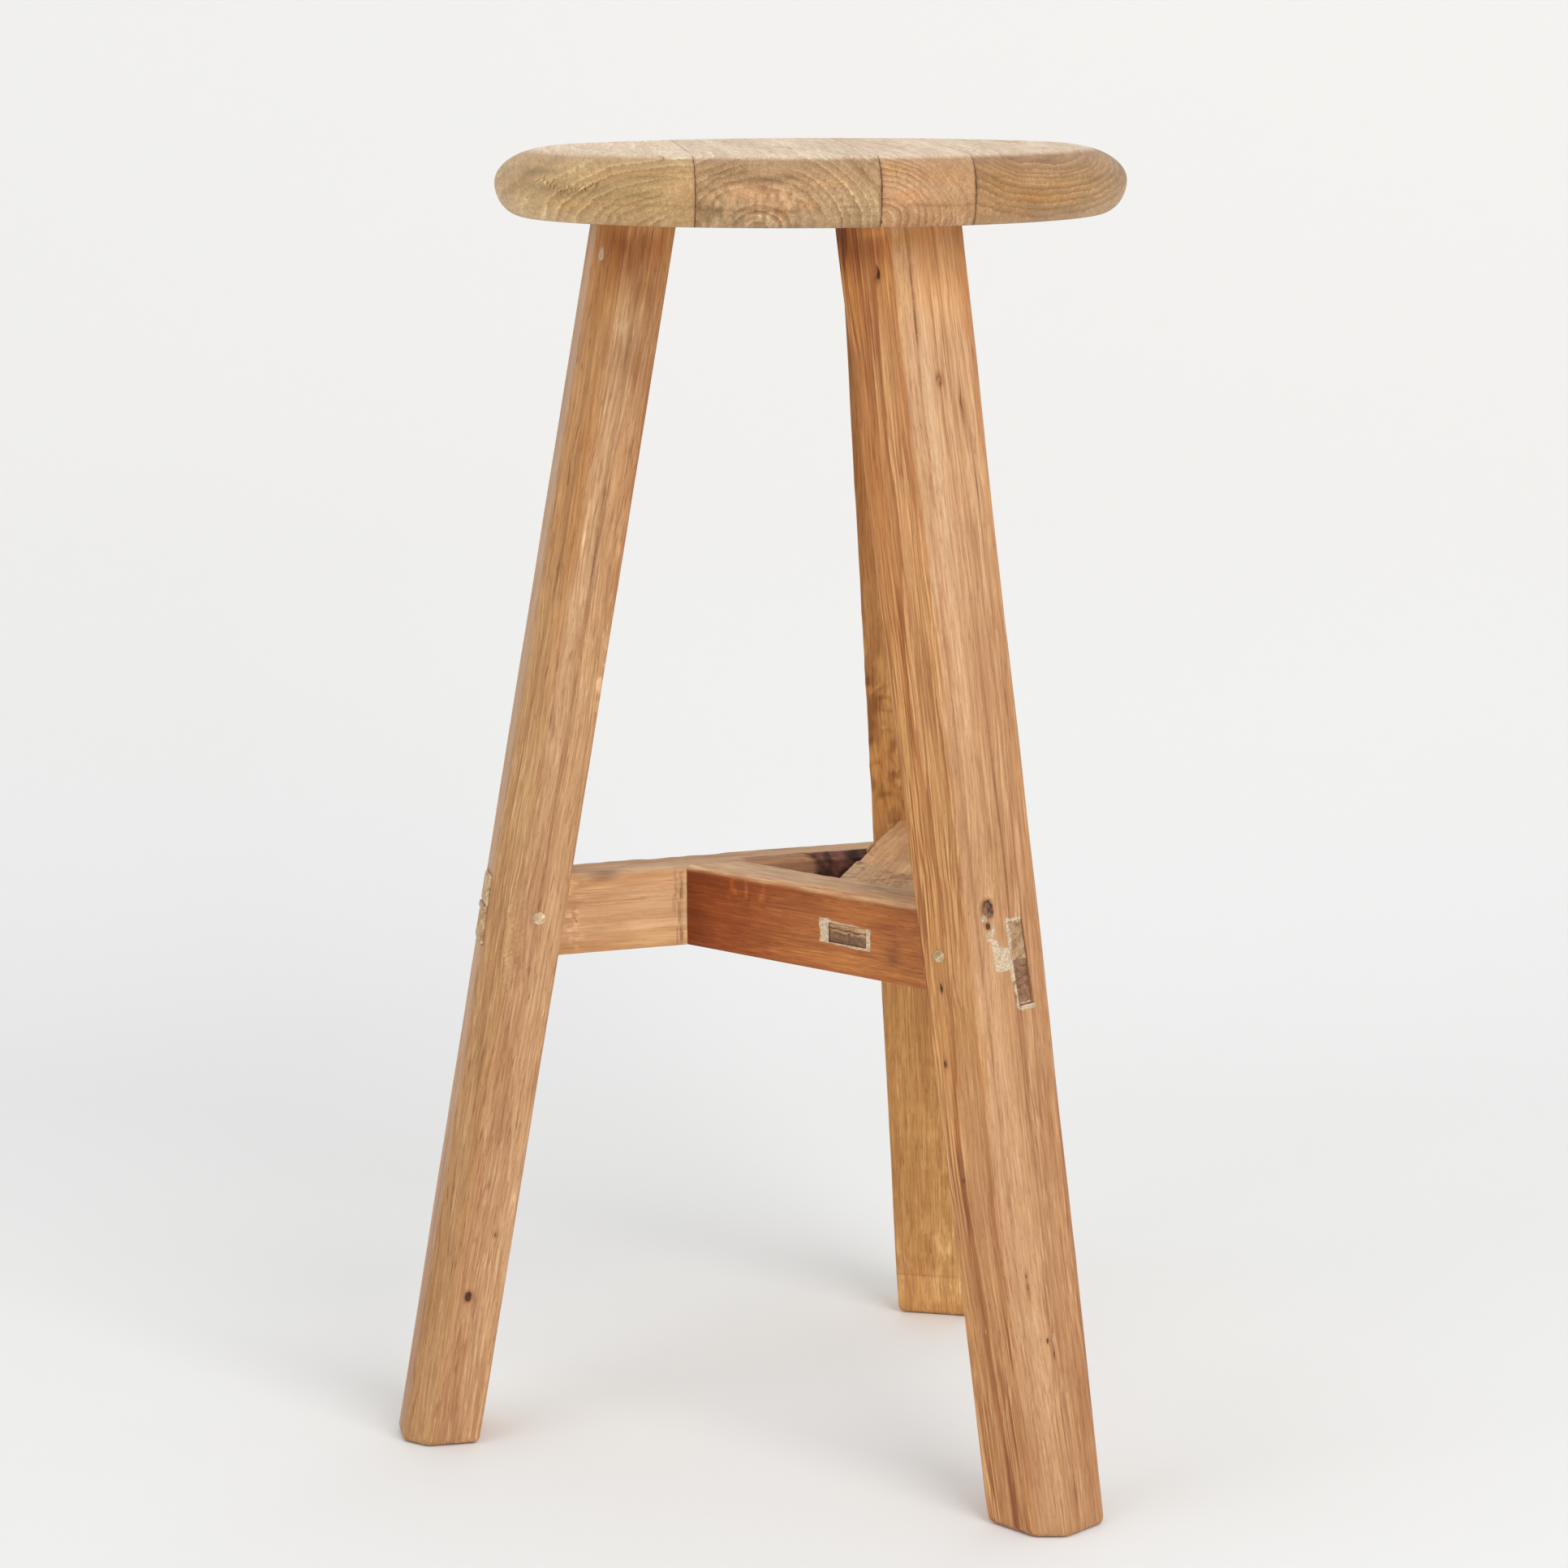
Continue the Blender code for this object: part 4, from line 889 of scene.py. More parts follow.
        facet(outer_strip, (0.96, 0.98, 1.04), (0.98, 1.00, 1.02))
    if name == "leg_back":
        facet(np.ones(len(p)), (0.95, 0.88, 0.74), (1.03, 1.02, 0.90))
    hole = np.full(len(p), FAR)
    putty = np.full(len(p), FAR)
    dirt_and_shade = np.zeros(len(p))
    grey = np.zeros(len(p))
    contrast = 0.55 + 0.6 * step(0.30, 0.65, fbm(np.stack([along * 5, fb * 45, sc * 45], -1), seed + 10, 2))
    a1 = np.asarray(axis)

    def patch(centre, ra, rc, gain, power=1.0):
        global tone
        w = glow(p, centre, a1, ra, rc) ** power
        tone = tone * (1 + w[:, None] * (np.array(gain) - 1))

    # painted shade of the seat: darker just under the seat; foot scuffs
    seat_shade_band = step(0.592, 0.616, z + 0.010 * (fbm(np.stack([along * 30, fb * 50, sc * 50], -1), seed + 11, 2) - 0.5))
    dirt_and_shade = np.maximum(dirt_and_shade, 0.15 * seat_shade_band)
    dirt_and_shade = np.maximum(dirt_and_shade, 0.35 * step(0.004, 0.0, z))
    if name != "leg_back":
        tone = tone * (1 + step(0.555, 0.600, z)[:, None] * (np.array([1.15, 1.07, 0.89]) - 1))
    o_face = leg_outer_plane(spec, 0.3)[1]
    if name == "leg_right":
        contrast = contrast * (1 - 0.80 * ridge_w)
        contrast = contrast * (1 + 1.5 * plane_s)
        s_face = np.cross(axis, np.cross(axis, heading(spec["face"][0])[1]))
        s_face = s_face / -np.linalg.norm(s_face)
        r_out = (o_face + s_face) / np.linalg.norm(o_face + s_face)
        # the dark line that follows the ridge down from the seat
        run = np.array([7.1, -11.4, -75.4])
        line = spot(p, (49.0, -100.9, 570.8), run / np.linalg.norm(run), 38.0, 0.16, 6.0, o_face)
        hole = np.minimum(hole, line + 0.5 * step(0.575, 0.535, z))
        # stains under the seat: a dark drip on the left, a reddish field with a pale broken top edge
        patch((21, -79, 604.5), 9, 8, (0.66, 0.50, 0.40), 0.7)
        patch((15.8, -72.8, 610.4), 9, 5, (0.55, 0.45, 0.38))
        patch((34, -91, 604), 7, 6, (0.84, 0.68, 0.58))
        patch((30, -86.0, 613.0), 2.6, 9, (1.45, 1.55, 1.66))
        patch((50, -96, 611.5), 4.0, 13, (1.05, 0.98, 0.80))
        patch((44, -97, 600), 9, 5, (0.98, 0.98, 1.06))
        patch((31, -88, 572), 26, 2.6, (0.76, 0.66, 0.56))
        patch((37, -91, 560), 40, 1.6, (0.80, 0.70, 0.60))
        patch((75, -92, 500), 26, 2.0, (0.88, 0.80, 0.72))
        patch((72, -91.3, 529), 8, 2.4, (0.80, 0.68, 0.58))
        patch((60.4, -98.9, 544.6), 5, 2.6, (0.92, 0.86, 0.76))
        patch((82.8, -142.2, 303.5), 2.4, 2.6, (1.18, 1.30, 1.40))
        patch((98.0, -137.0, 296.5), 5.0, 1.2, (0.80, 0.68, 0.58))
        patch((62.4, -132.2, 268.0), 6.0, 1.0, (1.16, 1.26, 1.34))
        patch((102.6, -168.5, 116.0), 7.0, 2.4, (0.86, 0.76, 0.66))
        patch((112.5, -166.0, 93.5), 8.0, 2.6, (0.88, 0.78, 0.68))
        patch((99.0, -160.0, 108.0), 40, 1.4, (0.80, 0.70, 0.60))
        knot_d = spot(p, (82.8, -141.5, 297.4), axis, 4.6, 2.5, 2.4, r_out) + 0.9 * (fbm(p * 420, 41, 2) - 0.5)
        knot_w = step(0.30, -0.25, knot_d)[:, None]
        knot_m = fbm(p * 900, 43, 2)
        tone = tone * (1 - knot_w) + knot_w * srgb(138, 102, 78) * (0.45 + 1.15 * step(0.30, 0.72, knot_m))[:, None]
        hole = np.minimum(hole, np.maximum(knot_d + 0.1, -spot(p, (82.2, -141.9, 296.2), axis, 4.4, 2.3, 2.4, r_out) + 0.1))
        for centre, ra, rc, out in (((31.4, -88.7, 593.6), 3.0, 0.95, s_face),
                                    ((83.0, -143.0, 289.6), 1.6, 1.0, r_out), ((60.9, -130.8, 256.7), 2.6, 0.8, s_face),
                                    ((61.6, -131.6, 262.0), 3.2, 0.22, s_face), ((63.3, -134.5, 220.5), 2.2, 0.7, s_face),
                                    ((71.6, -144.8, 165.5), 1.9, 0.8, s_face), ((101.7, -169.2, 119.6), 2.0, 0.5, r_out),
                                    ((101.0, -168.9, 124.6), 1.4, 0.4, r_out), ((109.5, -167.5, 93.0), 1.2, 0.8, o_face),
                                    ((111.0, -165.0, 85.5), 1.5, 0.4, o_face), ((71.1, -91.0, 533.5), 2.8, 0.30, o_face),
                                    ((76.6, -92.4, 506.6), 7.5, 0.14, o_face), ((77.4, -93.2, 492.0), 6.0, 0.10, o_face),
                                    ((104.4, -149.0, 343.0), 3.0, 0.20, o_face), ((92.7, -108.2, 387.8), 3.4, 0.20, o_face),
                                    ((125.4, -176.2, 12.5), 13.0, 0.10, o_face), ((110.1, -164.4, 112.9), 2.6, 0.15, o_face),
                                    ((88.0, -127.0, 305.0), 26.0, 0.06, o_face), ((98.3, -137.5, 300.2), 3.6, 0.24, o_face),
                                    ((81.0, -143.5, 262.0), 16.0, 0.05, r_out)):
            hole = np.minimum(hole, spot(p, centre, axis, ra, rc, 2.0, out))
        for centre, ra, rc in (((60.9, -130.8, 256.7), 5.0, 2.2), ((71.6, -144.8, 165.5), 4.5, 2.0), ((101.7, -169.2, 120.5), 4.6, 2.0),
                               ((109.5, -167.5, 93.0), 4.0, 2.2), ((82.3, -158.0, 94.8), 5.0, 1.8), ((113.9, -165.8, 93.2), 4.0, 1.5)):
            patch(centre, ra, rc, (1.12, 1.18, 1.22))
        ringknot = np.abs(spot(p, (60.4, -98.9, 544.6), axis, 2.3, 1.15, 2.0, r_out)) - 0.16
        hole = np.minimum(hole, ringknot)
        # filler: a lip inside the upper hole, a trail below the knot hole, a squarish patch, and ragged lips on the slots
        for centre, ra, rc, out in (((31.6, -88.9, 590.9), 1.0, 0.8, s_face), ((81.3, -142.6, 292.6), 1.1, 1.5, r_out),
                                    ((84.6, -142.8, 288.0), 2.4, 1.5, r_out), ((83.8, -143.6, 284.4), 2.2, 1.7, r_out),
                                    ((86.2, -142.4, 280.6), 2.6, 1.8, r_out), ((82.3, -158.0, 94.8), 2.0, 0.5, s_face),
                                    ((114.2, -165.8, 93.2), 1.9, 0.55, o_face), ((87.6, -141.8, 277.6), 2.4, 2.6, r_out)):
            putty = np.minimum(putty, spot(p, centre, axis, ra, rc, 3.0, out))
        putty = np.minimum(putty, spot(p, (89.9, -141.0, 273.2), axis, 5.6, 4.3, 5.0, r_out))
        bn = heading(BARS["stretcher_right"]["heading"])[1]
        N_mm, z_mm = p @ bn * 1000, z * 1000
        ragged = 1.7 * (fbm(np.stack([N_mm / 3.0, z_mm / 3.4, z_mm * 0], -1), 301, 2) - 0.5)

        def lip(n0, n1, z0, z1):
            return np.maximum(np.abs(N_mm - (n0 + n1) / 2) - (n1 - n0) / 2, np.abs(z_mm - (z0 + z1) / 2) - (z1 - z0) / 2) + ragged

        lips = np.minimum.reduce([lip(43.4, 46.2, 278.0, 291.0), lip(35.0, 45.6, 289.4, 292.0), lip(43.6, 45.0, 271.0, 278.0),
                                  lip(43.8, 47.4, 262.0, 272.0), lip(44.0, 46.0, 249.4, 262.0), lip(33.6, 45.6, 248.2, 250.6)])
        on_face = step(0.0012, 0.0004, half_a - fb) > 0.5
        putty = np.where(on_face, np.minimum(putty, lips), putty)
        putty = np.minimum(putty, spot(p, (80.9, -142.6, 294.0), axis, 1.0, 1.1, 2.0, r_out) + 0.5 * (fbm(p * 700, 47, 1) - 0.5))
        for centre, ra, rc in (((83.4, -141.3, 298.4), 3.6, 2.0), ((83.0, -143.0, 289.6), 1.6, 1.0)):
            putty = np.where(spot(p, centre, axis, ra, rc, 2.0, r_out) < 0.3, FAR, putty)
    if name == "leg_left":
        toward = np.cross(axis, np.cross(axis, heading(spec["face"][0])[1]))
        toward = toward / np.linalg.norm(toward)
        for centre, ra, rc, gain in (((-88, -34, 606), 8, 11, (0.88, 0.76, 0.60)), ((-95, -35, 606), 7, 7, (0.80, 0.64, 0.48)),
                                     ((-88, -34, 596), 8, 8, (0.82, 0.70, 0.60)), ((-97, -35.5, 592), 9, 5, (0.84, 0.72, 0.58)),
                                     ((-76, -33, 604), 8, 6, (0.90, 0.76, 0.66)), ((-84, -34, 583), 7, 7, (0.82, 0.70, 0.58)),
                                     ((-87, -34.5, 611), 3.5, 2.2, (1.30, 1.38, 1.42)), ((-79, -33.5, 613), 2.5, 4.5, (1.20, 1.28, 1.34)),
                                     ((-90, -34.5, 570), 10, 7, (1.10, 1.16, 1.18)), ((-92, -35.5, 552), 8, 9, (0.82, 0.76, 0.68)),
                                     ((-86, -34.5, 543), 6, 6, (0.86, 0.80, 0.72)), ((-104, -36, 575), 22, 3, (0.90, 0.80, 0.60)),
                                     ((-105, -34, 500), 70, 2.0, (0.88, 0.80, 0.68)), ((-84, -34, 500), 90, 1.6, (0.88, 0.74, 0.64)),
                                     ((-80, -33, 520), 60, 1.2, (1.12, 1.18, 1.20)), ((-90, -35, 480), 80, 1.4, (0.90, 0.76, 0.66)),
                                     ((-112, -40, 440), 60, 3.5, (1.06, 1.10, 1.14)), ((-101.5, -37, 402), 26, 2.6, (1.14, 1.22, 1.32)),
                                     ((-97, -36, 402), 22, 1.6, (1.25, 1.40, 1.60))):
            patch(centre, ra, rc, gain)
        # pale flames above and below the lowest hole
        for centre, ra, rc in (((-173.4, -51.2, 86.5), 6.0, 0.9), ((-175.6, -51.9, 67.0), 6.5, 1.2), ((-176.8, -52.2, 58.0), 3.0, 0.8)):
            patch(centre, ra * 1.1, rc * 1.9, (1.30, 1.46, 1.60))
        patch((-164.0, -49.0, 136.0), 3.0, 1.4, (0.62, 0.50, 0.44))
        patch((-170.5, -51.0, 108.0), 2.2, 1.0, (0.70, 0.60, 0.52))
        patch((-160.5, -48.0, 110.0), 2.4, 1.8, (0.66, 0.55, 0.46))
        for centre, ra, rc in (((-174.8, -51.7, 78.2), 2.7, 1.5), ((-78.5, -34.0, 601), 3.0, 0.10), ((-161.0, -48.4, 110.0), 0.8, 0.6),
                               ((-76.0, -32.5, 590), 4.0, 0.08), ((-116.0, -40.0, 395.0), 8.0, 0.06), ((-128.0, -42.0, 330.0), 6.0, 0.05),
                               ((-104.0, -37.0, 470.0), 12.0, 0.05)):
            hole = np.minimum(hole, spot(p, centre, axis, ra, rc, 2.0, toward))
        putty = np.minimum(putty, spot(p, (-101.3, -35.0, 600.5), axis, 3.4, 1.2, 2.0, toward) + 1.0 * (fbm(p * 500, 7, 2) - 0.4))
        lb = BARS["stretcher_left"]
        bn = heading(lb["heading"])[1]
        n_l, z_l = p @ bn * 1000, z * 1000
        n0_, n1_, z0_, z1_ = (v * 1000 for v in (*lb["shown_n"], *lb["shown_z"]))
        rect = np.maximum(np.abs(n_l - (n0_ + n1_) / 2) - (n1_ - n0_) / 2, np.abs(z_l - (z0_ + z1_) / 2) - (z1_ - z0_) / 2)
        hole = np.where((fb > 0.006) & (rect > -0.5), np.minimum(hole, np.abs(rect - 0.45) - 0.12), hole)
        # the inner corner is chipped pale at one place
        chips = np.exp(-((z - 0.392) / 0.017) ** 2) * step(-0.0150, -0.0172, fb) * step(0.46, 0.56, fbm(p * 230, 5, 2))
        tone = tone * (1 + chips[:, None] * np.array([0.60, 0.75, 0.95]))
        # long thin pale marks beside the peg
        for centre, ra, rc in (((-142.6, -45.6, 253.5), 17.5, 0.30), ((-146.0, -46.0, 262.0), 24.0, 0.25), ((-152.0, -47.0, 214.0), 16.0, 0.3),
                               ((-126.0, -42.0, 352.0), 20.0, 0.3), ((-119.0, -41.5, 420.0), 26.0, 0.3), ((-110.0, -39.5, 470.0), 16.0, 0.25)):
            scratch = spot(p, centre, axis, ra, rc, 2.0, toward) + 0.5 * (fbm(np.stack([along * 160, fb * 0, sc * 0], -1), 31, 2) - 0.5)
            tone = tone * (1 + step(0.55, -0.15, scratch)[:, None] * np.array([0.22, 0.31, 0.42]))
        # a line of short ripples left by a scraper
        beat = np.sin(along * 1000 * 2 * math.pi / (3.1 + 0.6 * line_noise(along * 22, 5, 1)) + 2.2 * np.sin(sc * 900) + fb * 900)
        ticks = glow(p, (-150.3, -46.6, 258.0), axis, 22.0, 2.4) * step(0.35, 0.95, beat) * step(0.35, 0.6, fbm(np.stack([along * 90, fb * 300, sc * 300], -1), 33, 2))
        tone = tone * (1 + ticks[:, None] * np.array([0.26, 0.34, 0.44]))
    if name == "leg_back":
        zone = step(0.275, 0.300, z) * step(0.42, 0.35, z)
        mott = fbm(np.stack([along * 60, fb * 150, sc * 150], -1) + fbm(p * 40, 90, 2)[:, None] * 1.6, 91, 3)
        tone = tone * (1 + zone[:, None] * ((step(0.40, 0.60, mott)[:, None] - 0.62) * np.array([0.50, 0.62, 0.75])))
        vein = np.abs(fbm(np.stack([along * 48, fb * 90, sc * 90], -1), 93, 2) - 0.5) * 26 - 0.10
        hole = np.where(zone > 0.5, np.minimum(hole, np.maximum(vein, 0.0) + 0.10), hole)
        upper = step(0.37, 0.46, z)
        tone = tone * (1 - (upper * step(0.5, 0.7, fbm(np.stack([along * 14, fb * 110, sc * 110], -1), 97, 2)))[:, None]
                       * np.array([0.14, 0.20, 0.24]))
        low = step(0.19, 0.06, z)
        pm = step(0.52, 0.60, fbm(np.stack([along * 70, fb * 230, sc * 230], -1), 95, 3)) * step(-0.012, 0.006, -fb * 0 + (p[:, 0] - 0.062))
        pm = np.maximum(pm, 0.55 * step(0.60, 0.66, fbm(np.stack([along * 70, fb * 230, sc * 230], -1), 96, 3)))
        tone = tone * (1 + (low * pm)[:, None] * np.array([0.24, 0.36, 0.56]))
        # a wavy pale mark, faint saw marks across, and a seam near the foot
        wav = (p[:, 0] * 1000 - 58.0 - (0.30 - z) * 70.0) - 1.8 * np.sin(z * 120.0) - 0.9 * np.sin(z * 331.0)
        mark = np.exp(-(wav / 0.55) ** 2) * step(0.20, 0.19, z) * step(0.085, 0.10, z)
        tone = tone * (1 + mark[:, None] * np.array([0.20, 0.28, 0.40]))
        saw = (noise(np.stack([z * 210, p[:, 0] * 12, z * 0], -1), 99) - 0.5) * step(0.27, 0.20, z)
        tone = tone * (1 + saw[:, None] * np.array([0.10, 0.13, 0.17]))
        seam = np.exp(-((z - 0.0235 - 0.0004 * line_noise(p[:, 0] * 120, 9, 1)) / 0.0006) ** 2)
        tone = tone * (1 - seam[:, None] * np.array([0.15, 0.19, 0.24]))
        below = step(0.0235, 0.0225, z)
        tone = tone * (1 + below[:, None] * np.array([0.10, 0.13, 0.18]))
    drift = (fbm(np.stack([along * 5, fb * 22, sc * 22], -1), seed + 50, 2) - 0.5) * 0.010
    drift2 = (fbm(np.stack([along * 22, fb * 60, sc * 60], -1), seed + 51, 2) - 0.5) * 0.0026
    dress(leg, leg_wood[name], tone, np.stack([along, fb + drift + drift2, sc - drift + drift2], -1), ring, contrast, hole=hole, putty=putty,
          grey=grey, dirt_and_shade=dirt_and_shade, node=name, smooth_angle=50)


# ---------------------------------------------------------------- stretchers
def span(bar):
    """Where the body starts at the hub, at its inner and outer side, and how far it reaches into its leg."""
    u, n = heading(bar["heading"])
    other = BARS[bar["into"]]
    ou, on = heading(other["heading"])
    starts = []
    for w in (0.0, bar["hub"]):
        base = n * (bar["offset"] + w)
        starts.append((other["offset"] - on @ base) / (on @ u))
    c = leg_frame(LEGS[bar["leg"]], np.array([(BAR_TOP + BAR_BOTTOM) / 2]))[1][0]
    return starts, float(u[:2] @ c)


def build_bar(name, bar):
    seed = bar["seed"]
    u, n = heading(bar["heading"])
    starts, reach = span(bar)
    other = BARS[bar["into"]]
    ou, on = heading(other["heading"])
    long_ = reach + 0.004 - min(starts)
    count = int(long_ / 0.0010)
    ts = np.linspace(0, 1, count)
    wob = [line_noise(ts * long_ * 26.0, seed + k, 3) for k in range(8)]
    slow = [line_noise(ts * long_ * 9.0, seed + 30 + k, 2) for k in range(4)]
    pitch = dict(arc=[6, 6, 6, 6], side=[40, 26 if bar["hub"] < 0.03 else 44, 40, 26 if bar["hub"] < 0.03 else 44])
    rings = []
    for k, t in enumerate(ts):
        w = bar["hub"] + (bar["end"] - bar["hub"]) * t
        n0, n1 = bar["offset"] + 0.0002 + 0.00025 * slow[0][k], bar["offset"] + w - 0.0002 - 0.00025 * slow[1][k]
        z0, z1 = BAR_BOTTOM + 0.0003 - 0.0002 * slow[2][k], BAR_TOP - 0.0003 + 0.0003 * slow[3][k]
        corners = [(n1, z0), (n1, z1), (n0, z1), (n0, z0)]
        worn = [0.0012 + 0.0006 * abs(wob[0][k]), 0.0026 + 0.0014 * wob[1][k], 0.0024 + 0.0014 * wob[2][k], 0.0014 + 0.0005 * abs(wob[3][k])]
        o = outline(corners, worn, pitch)
        # the hub end is cut along the next stretcher's inner face
        start = (other["offset"] + 0.00015 - (on[:2] @ n[:2]) * o[:, 0]) / (on @ u)
        end = reach + 0.004
        uu = start + (end - start) * t
        rings.append(np.stack([uu * u[0] + o[:, 0] * n[0], uu * u[1] + o[:, 0] * n[1], o[:, 1]], -1))
    return tube(name + "_wood", rings)


def tenon_exit(bar):
    """Where the stretcher's centre line through its leg tenon leaves the leg."""
    u, n = heading(bar["heading"])
    zc = sum(bar["tenon_z"]) / 2
    p, nn = leg_outer_plane(LEGS[bar["leg"]], zc)
    line = n * sum(bar["tenon"]) / 2 + np.array([0, 0, zc])
    return line, u, n, ((p - line) @ nn) / (u @ nn), nn, p


def hub_exit(bar):
    """Where the hub tenon leaves the stretcher it passes through, and that face's outward normal."""
    u, n = heading(bar["heading"])
    other = BARS[bar["into"]]
    ou, on = heading(other["heading"])
    s_starts, o_reach = span(other)
    a = ou * min(s_starts) + on * (other["offset"] + other["hub"] - 0.0002)
    b = ou * (o_reach + 0.004) + on * (other["offset"] + other["end"] - 0.0002)
    along = (b - a) / np.linalg.norm(b - a)
    out = np.array([along[1], -along[0], 0.0])
    if out @ on < 0:
        out = -out
    line = n * sum(bar["hub_tenon"]) / 2 + np.array([0, 0, sum(HUB_Z) / 2])
    return line, u, n, ((a - line) @ out) / (u @ out), out


def end_block(name, bar, line, u, n, exit_u, normal, width, height, proud, back, seed, cells=(26, 34), soft=(0.0005, 0.0006)):
    """A tenon's last length: a closed block whose outer end is a worn grid lying on the face it comes through."""
    nu, nv = cells
    sgn = 1.0 if u @ normal > 0 else -1.0
    gx = np.linspace(-0.5, 0.5, nu)
    gz = np.linspace(-0.5, 0.5, nv)
    X, Z = np.meshgrid(gx * width, gz * height, indexing="ij")
    base = line[None, None] + n[None, None] * X[..., None] + np.array([0, 0, 1.0]) * Z[..., None]
    face_pt = line + u * exit_u
    depth = ((face_pt + normal * proud - base) @ normal) / (u @ normal)
    edge = np.minimum(np.minimum(0.5 - np.abs(gx)[:, None], 9) * width, np.minimum(0.5 - np.abs(gz)[None, :], 9) * height)
    worn = soft[0] * np.exp(-edge / soft[1])
    rough = 0.00045 * (fbm(np.stack([X * 500, Z * 900, X * 0], -1), seed, 3) - 0.5)
    front = base + u * (depth + sgn * (rough - worn))[..., None]
    rear = base + u * (depth - sgn * back)[..., None]
    co, faces = [], []
    F = front.reshape(-1, 3)
    R = rear.reshape(-1, 3)
    co = np.concatenate([F, R])
    idx = np.arange(nu * nv).reshape(nu, nv)
    off = nu * nv

    def quad(a, b, c, d, flip):
        faces.append([a, b, c, d] if not flip else [d, c, b, a])

    flip = np.cross(n, np.array([0, 0, 1.0])) @ (u * sgn) < 0
    for i in range(nu - 1):
        for j in range(nv - 1):
            quad(idx[i, j], idx[i + 1, j], idx[i + 1, j + 1], idx[i, j + 1], flip)
            quad(off + idx[i, j + 1], off + idx[i + 1, j + 1], off + idx[i + 1, j], off + idx[i, j], flip)
    for i in range(nu - 1):
        quad(off + idx[i, 0], off + idx[i + 1, 0], idx[i + 1, 0], idx[i, 0], flip)
        quad(idx[i, nv - 1], idx[i + 1, nv - 1], off + idx[i + 1, nv - 1], off + idx[i, nv - 1], flip)
    for j in range(nv - 1):
        quad(idx[0, j], idx[0, j + 1], off + idx[0, j + 1], off + idx[0, j], flip)
        quad(off + idx[nu - 1, j], off + idx[nu - 1, j + 1], idx[nu - 1, j + 1], idx[nu - 1, j], flip)
    return to_object(name, co, [[int(v) for v in f] for f in faces])


bar_wood = {
    "stretcher_left": wood("elm_bar_left", pale_line=0.25, dark_line=0.30, fibre=0.50, streak=0.22, pores=0.35, rough=0.54,
                           bump=0.60, late=(0.74, 0.58, 0.44), flecks=0.45, comb=0.30, sparse=0.40),
    "stretcher_right": wood("elm_bar_right", pale_line=0.16, dark_line=0.26, fibre=0.70, streak=0.28, pores=0.50, rough=0.52,
                            bump=0.80, late=(0.62, 0.46, 0.34), flecks=0.60, comb=0.40, sparse=0.45, lines=(60.0, 800.0)),
    "stretcher_back": wood("elm_bar_back", pale_line=0.20, dark_line=0.26, fibre=0.60, streak=0.30, pores=0.45, rough=0.58,
                           bump=0.85, late=(0.70, 0.56, 0.44), flecks=0.30, comb=0.30, sparse=0.45),
}
BAR_LOOK = {
    "stretcher_left": dict(tone=srgb(218, 170, 124), top=srgb(206, 168, 129), pith=(70.0, 285.0), pitch=3.4),
    # the right stretcher's dark red tone is its own colour with some painted shade of its outer face in it
    "stretcher_right": dict(tone=srgb(158, 92, 48), top=srgb(214, 175, 135), pith=(10.0, 330.0), pitch=2.4),
    "stretcher_back": dict(tone=srgb(188, 138, 98), top=srgb(214, 170, 124), pith=(40.0, 315.0), pitch=3.2),
}
end_wood = wood("elm_end_grain", pale_line=0.30, dark_line=0.50, fibre=0.75, streak=0.45, pores=0.75, rough=0.66, bump=0.9,
                late=(0.55, 0.42, 0.34), flecks=0.5, comb=0.35, lines=(60.0, 420.0))

def hub_end_look(n_mm, z_mm, U, seed, front_one):
    """Tone and split of a hub tenon's end: on the front one a bent split runs along it, pale above and dark below."""
    mott = fbm(np.stack([n_mm * 0.26, z_mm * 0.6, U * 50], -1), seed + 71, 3) - 0.5
    tone = srgb(172, 134, 98)[None] * (1 + mott[:, None] * np.array([0.7, 0.8, 0.9]))
    if not front_one:
        return tone, np.full(len(n_mm), FAR)
    bend = 0.055 * (n_mm - 31) - 0.006 * (n_mm - 31) ** 2 * 0.5 + 0.25 * np.sin(n_mm * 0.9)
    v = z_mm - 1.9 + bend
    v2 = z_mm - 0.2 + bend * 0.9 + 0.2 * np.sin(n_mm * 1.7)
    low = step(0.3, -1.2, v2)
    tone = tone * (1 - low[:, None] * np.array([0.42, 0.44, 0.42]))
    up = step(-0.2, 1.0, v)
    tone = tone * (1 + up[:, None] * np.array([0.30, 0.38, 0.44]))
    between = step(-0.4, 0.2, v2) * step(0.2, -0.4, v)
    tone = tone * (1 + between[:, None] * np.array([0.45, 0.50, 0.50]))
    grain = np.sin(z_mm * 5.2 + 0.5 * np.sin(n_mm * 0.8)) * 0.10
    tone = tone * (1 + grain[:, None])
    return tone, np.minimum(np.abs(v) - 0.16, np.abs(v2) - 0.05 + 0.12 * step(30, 24, n_mm))


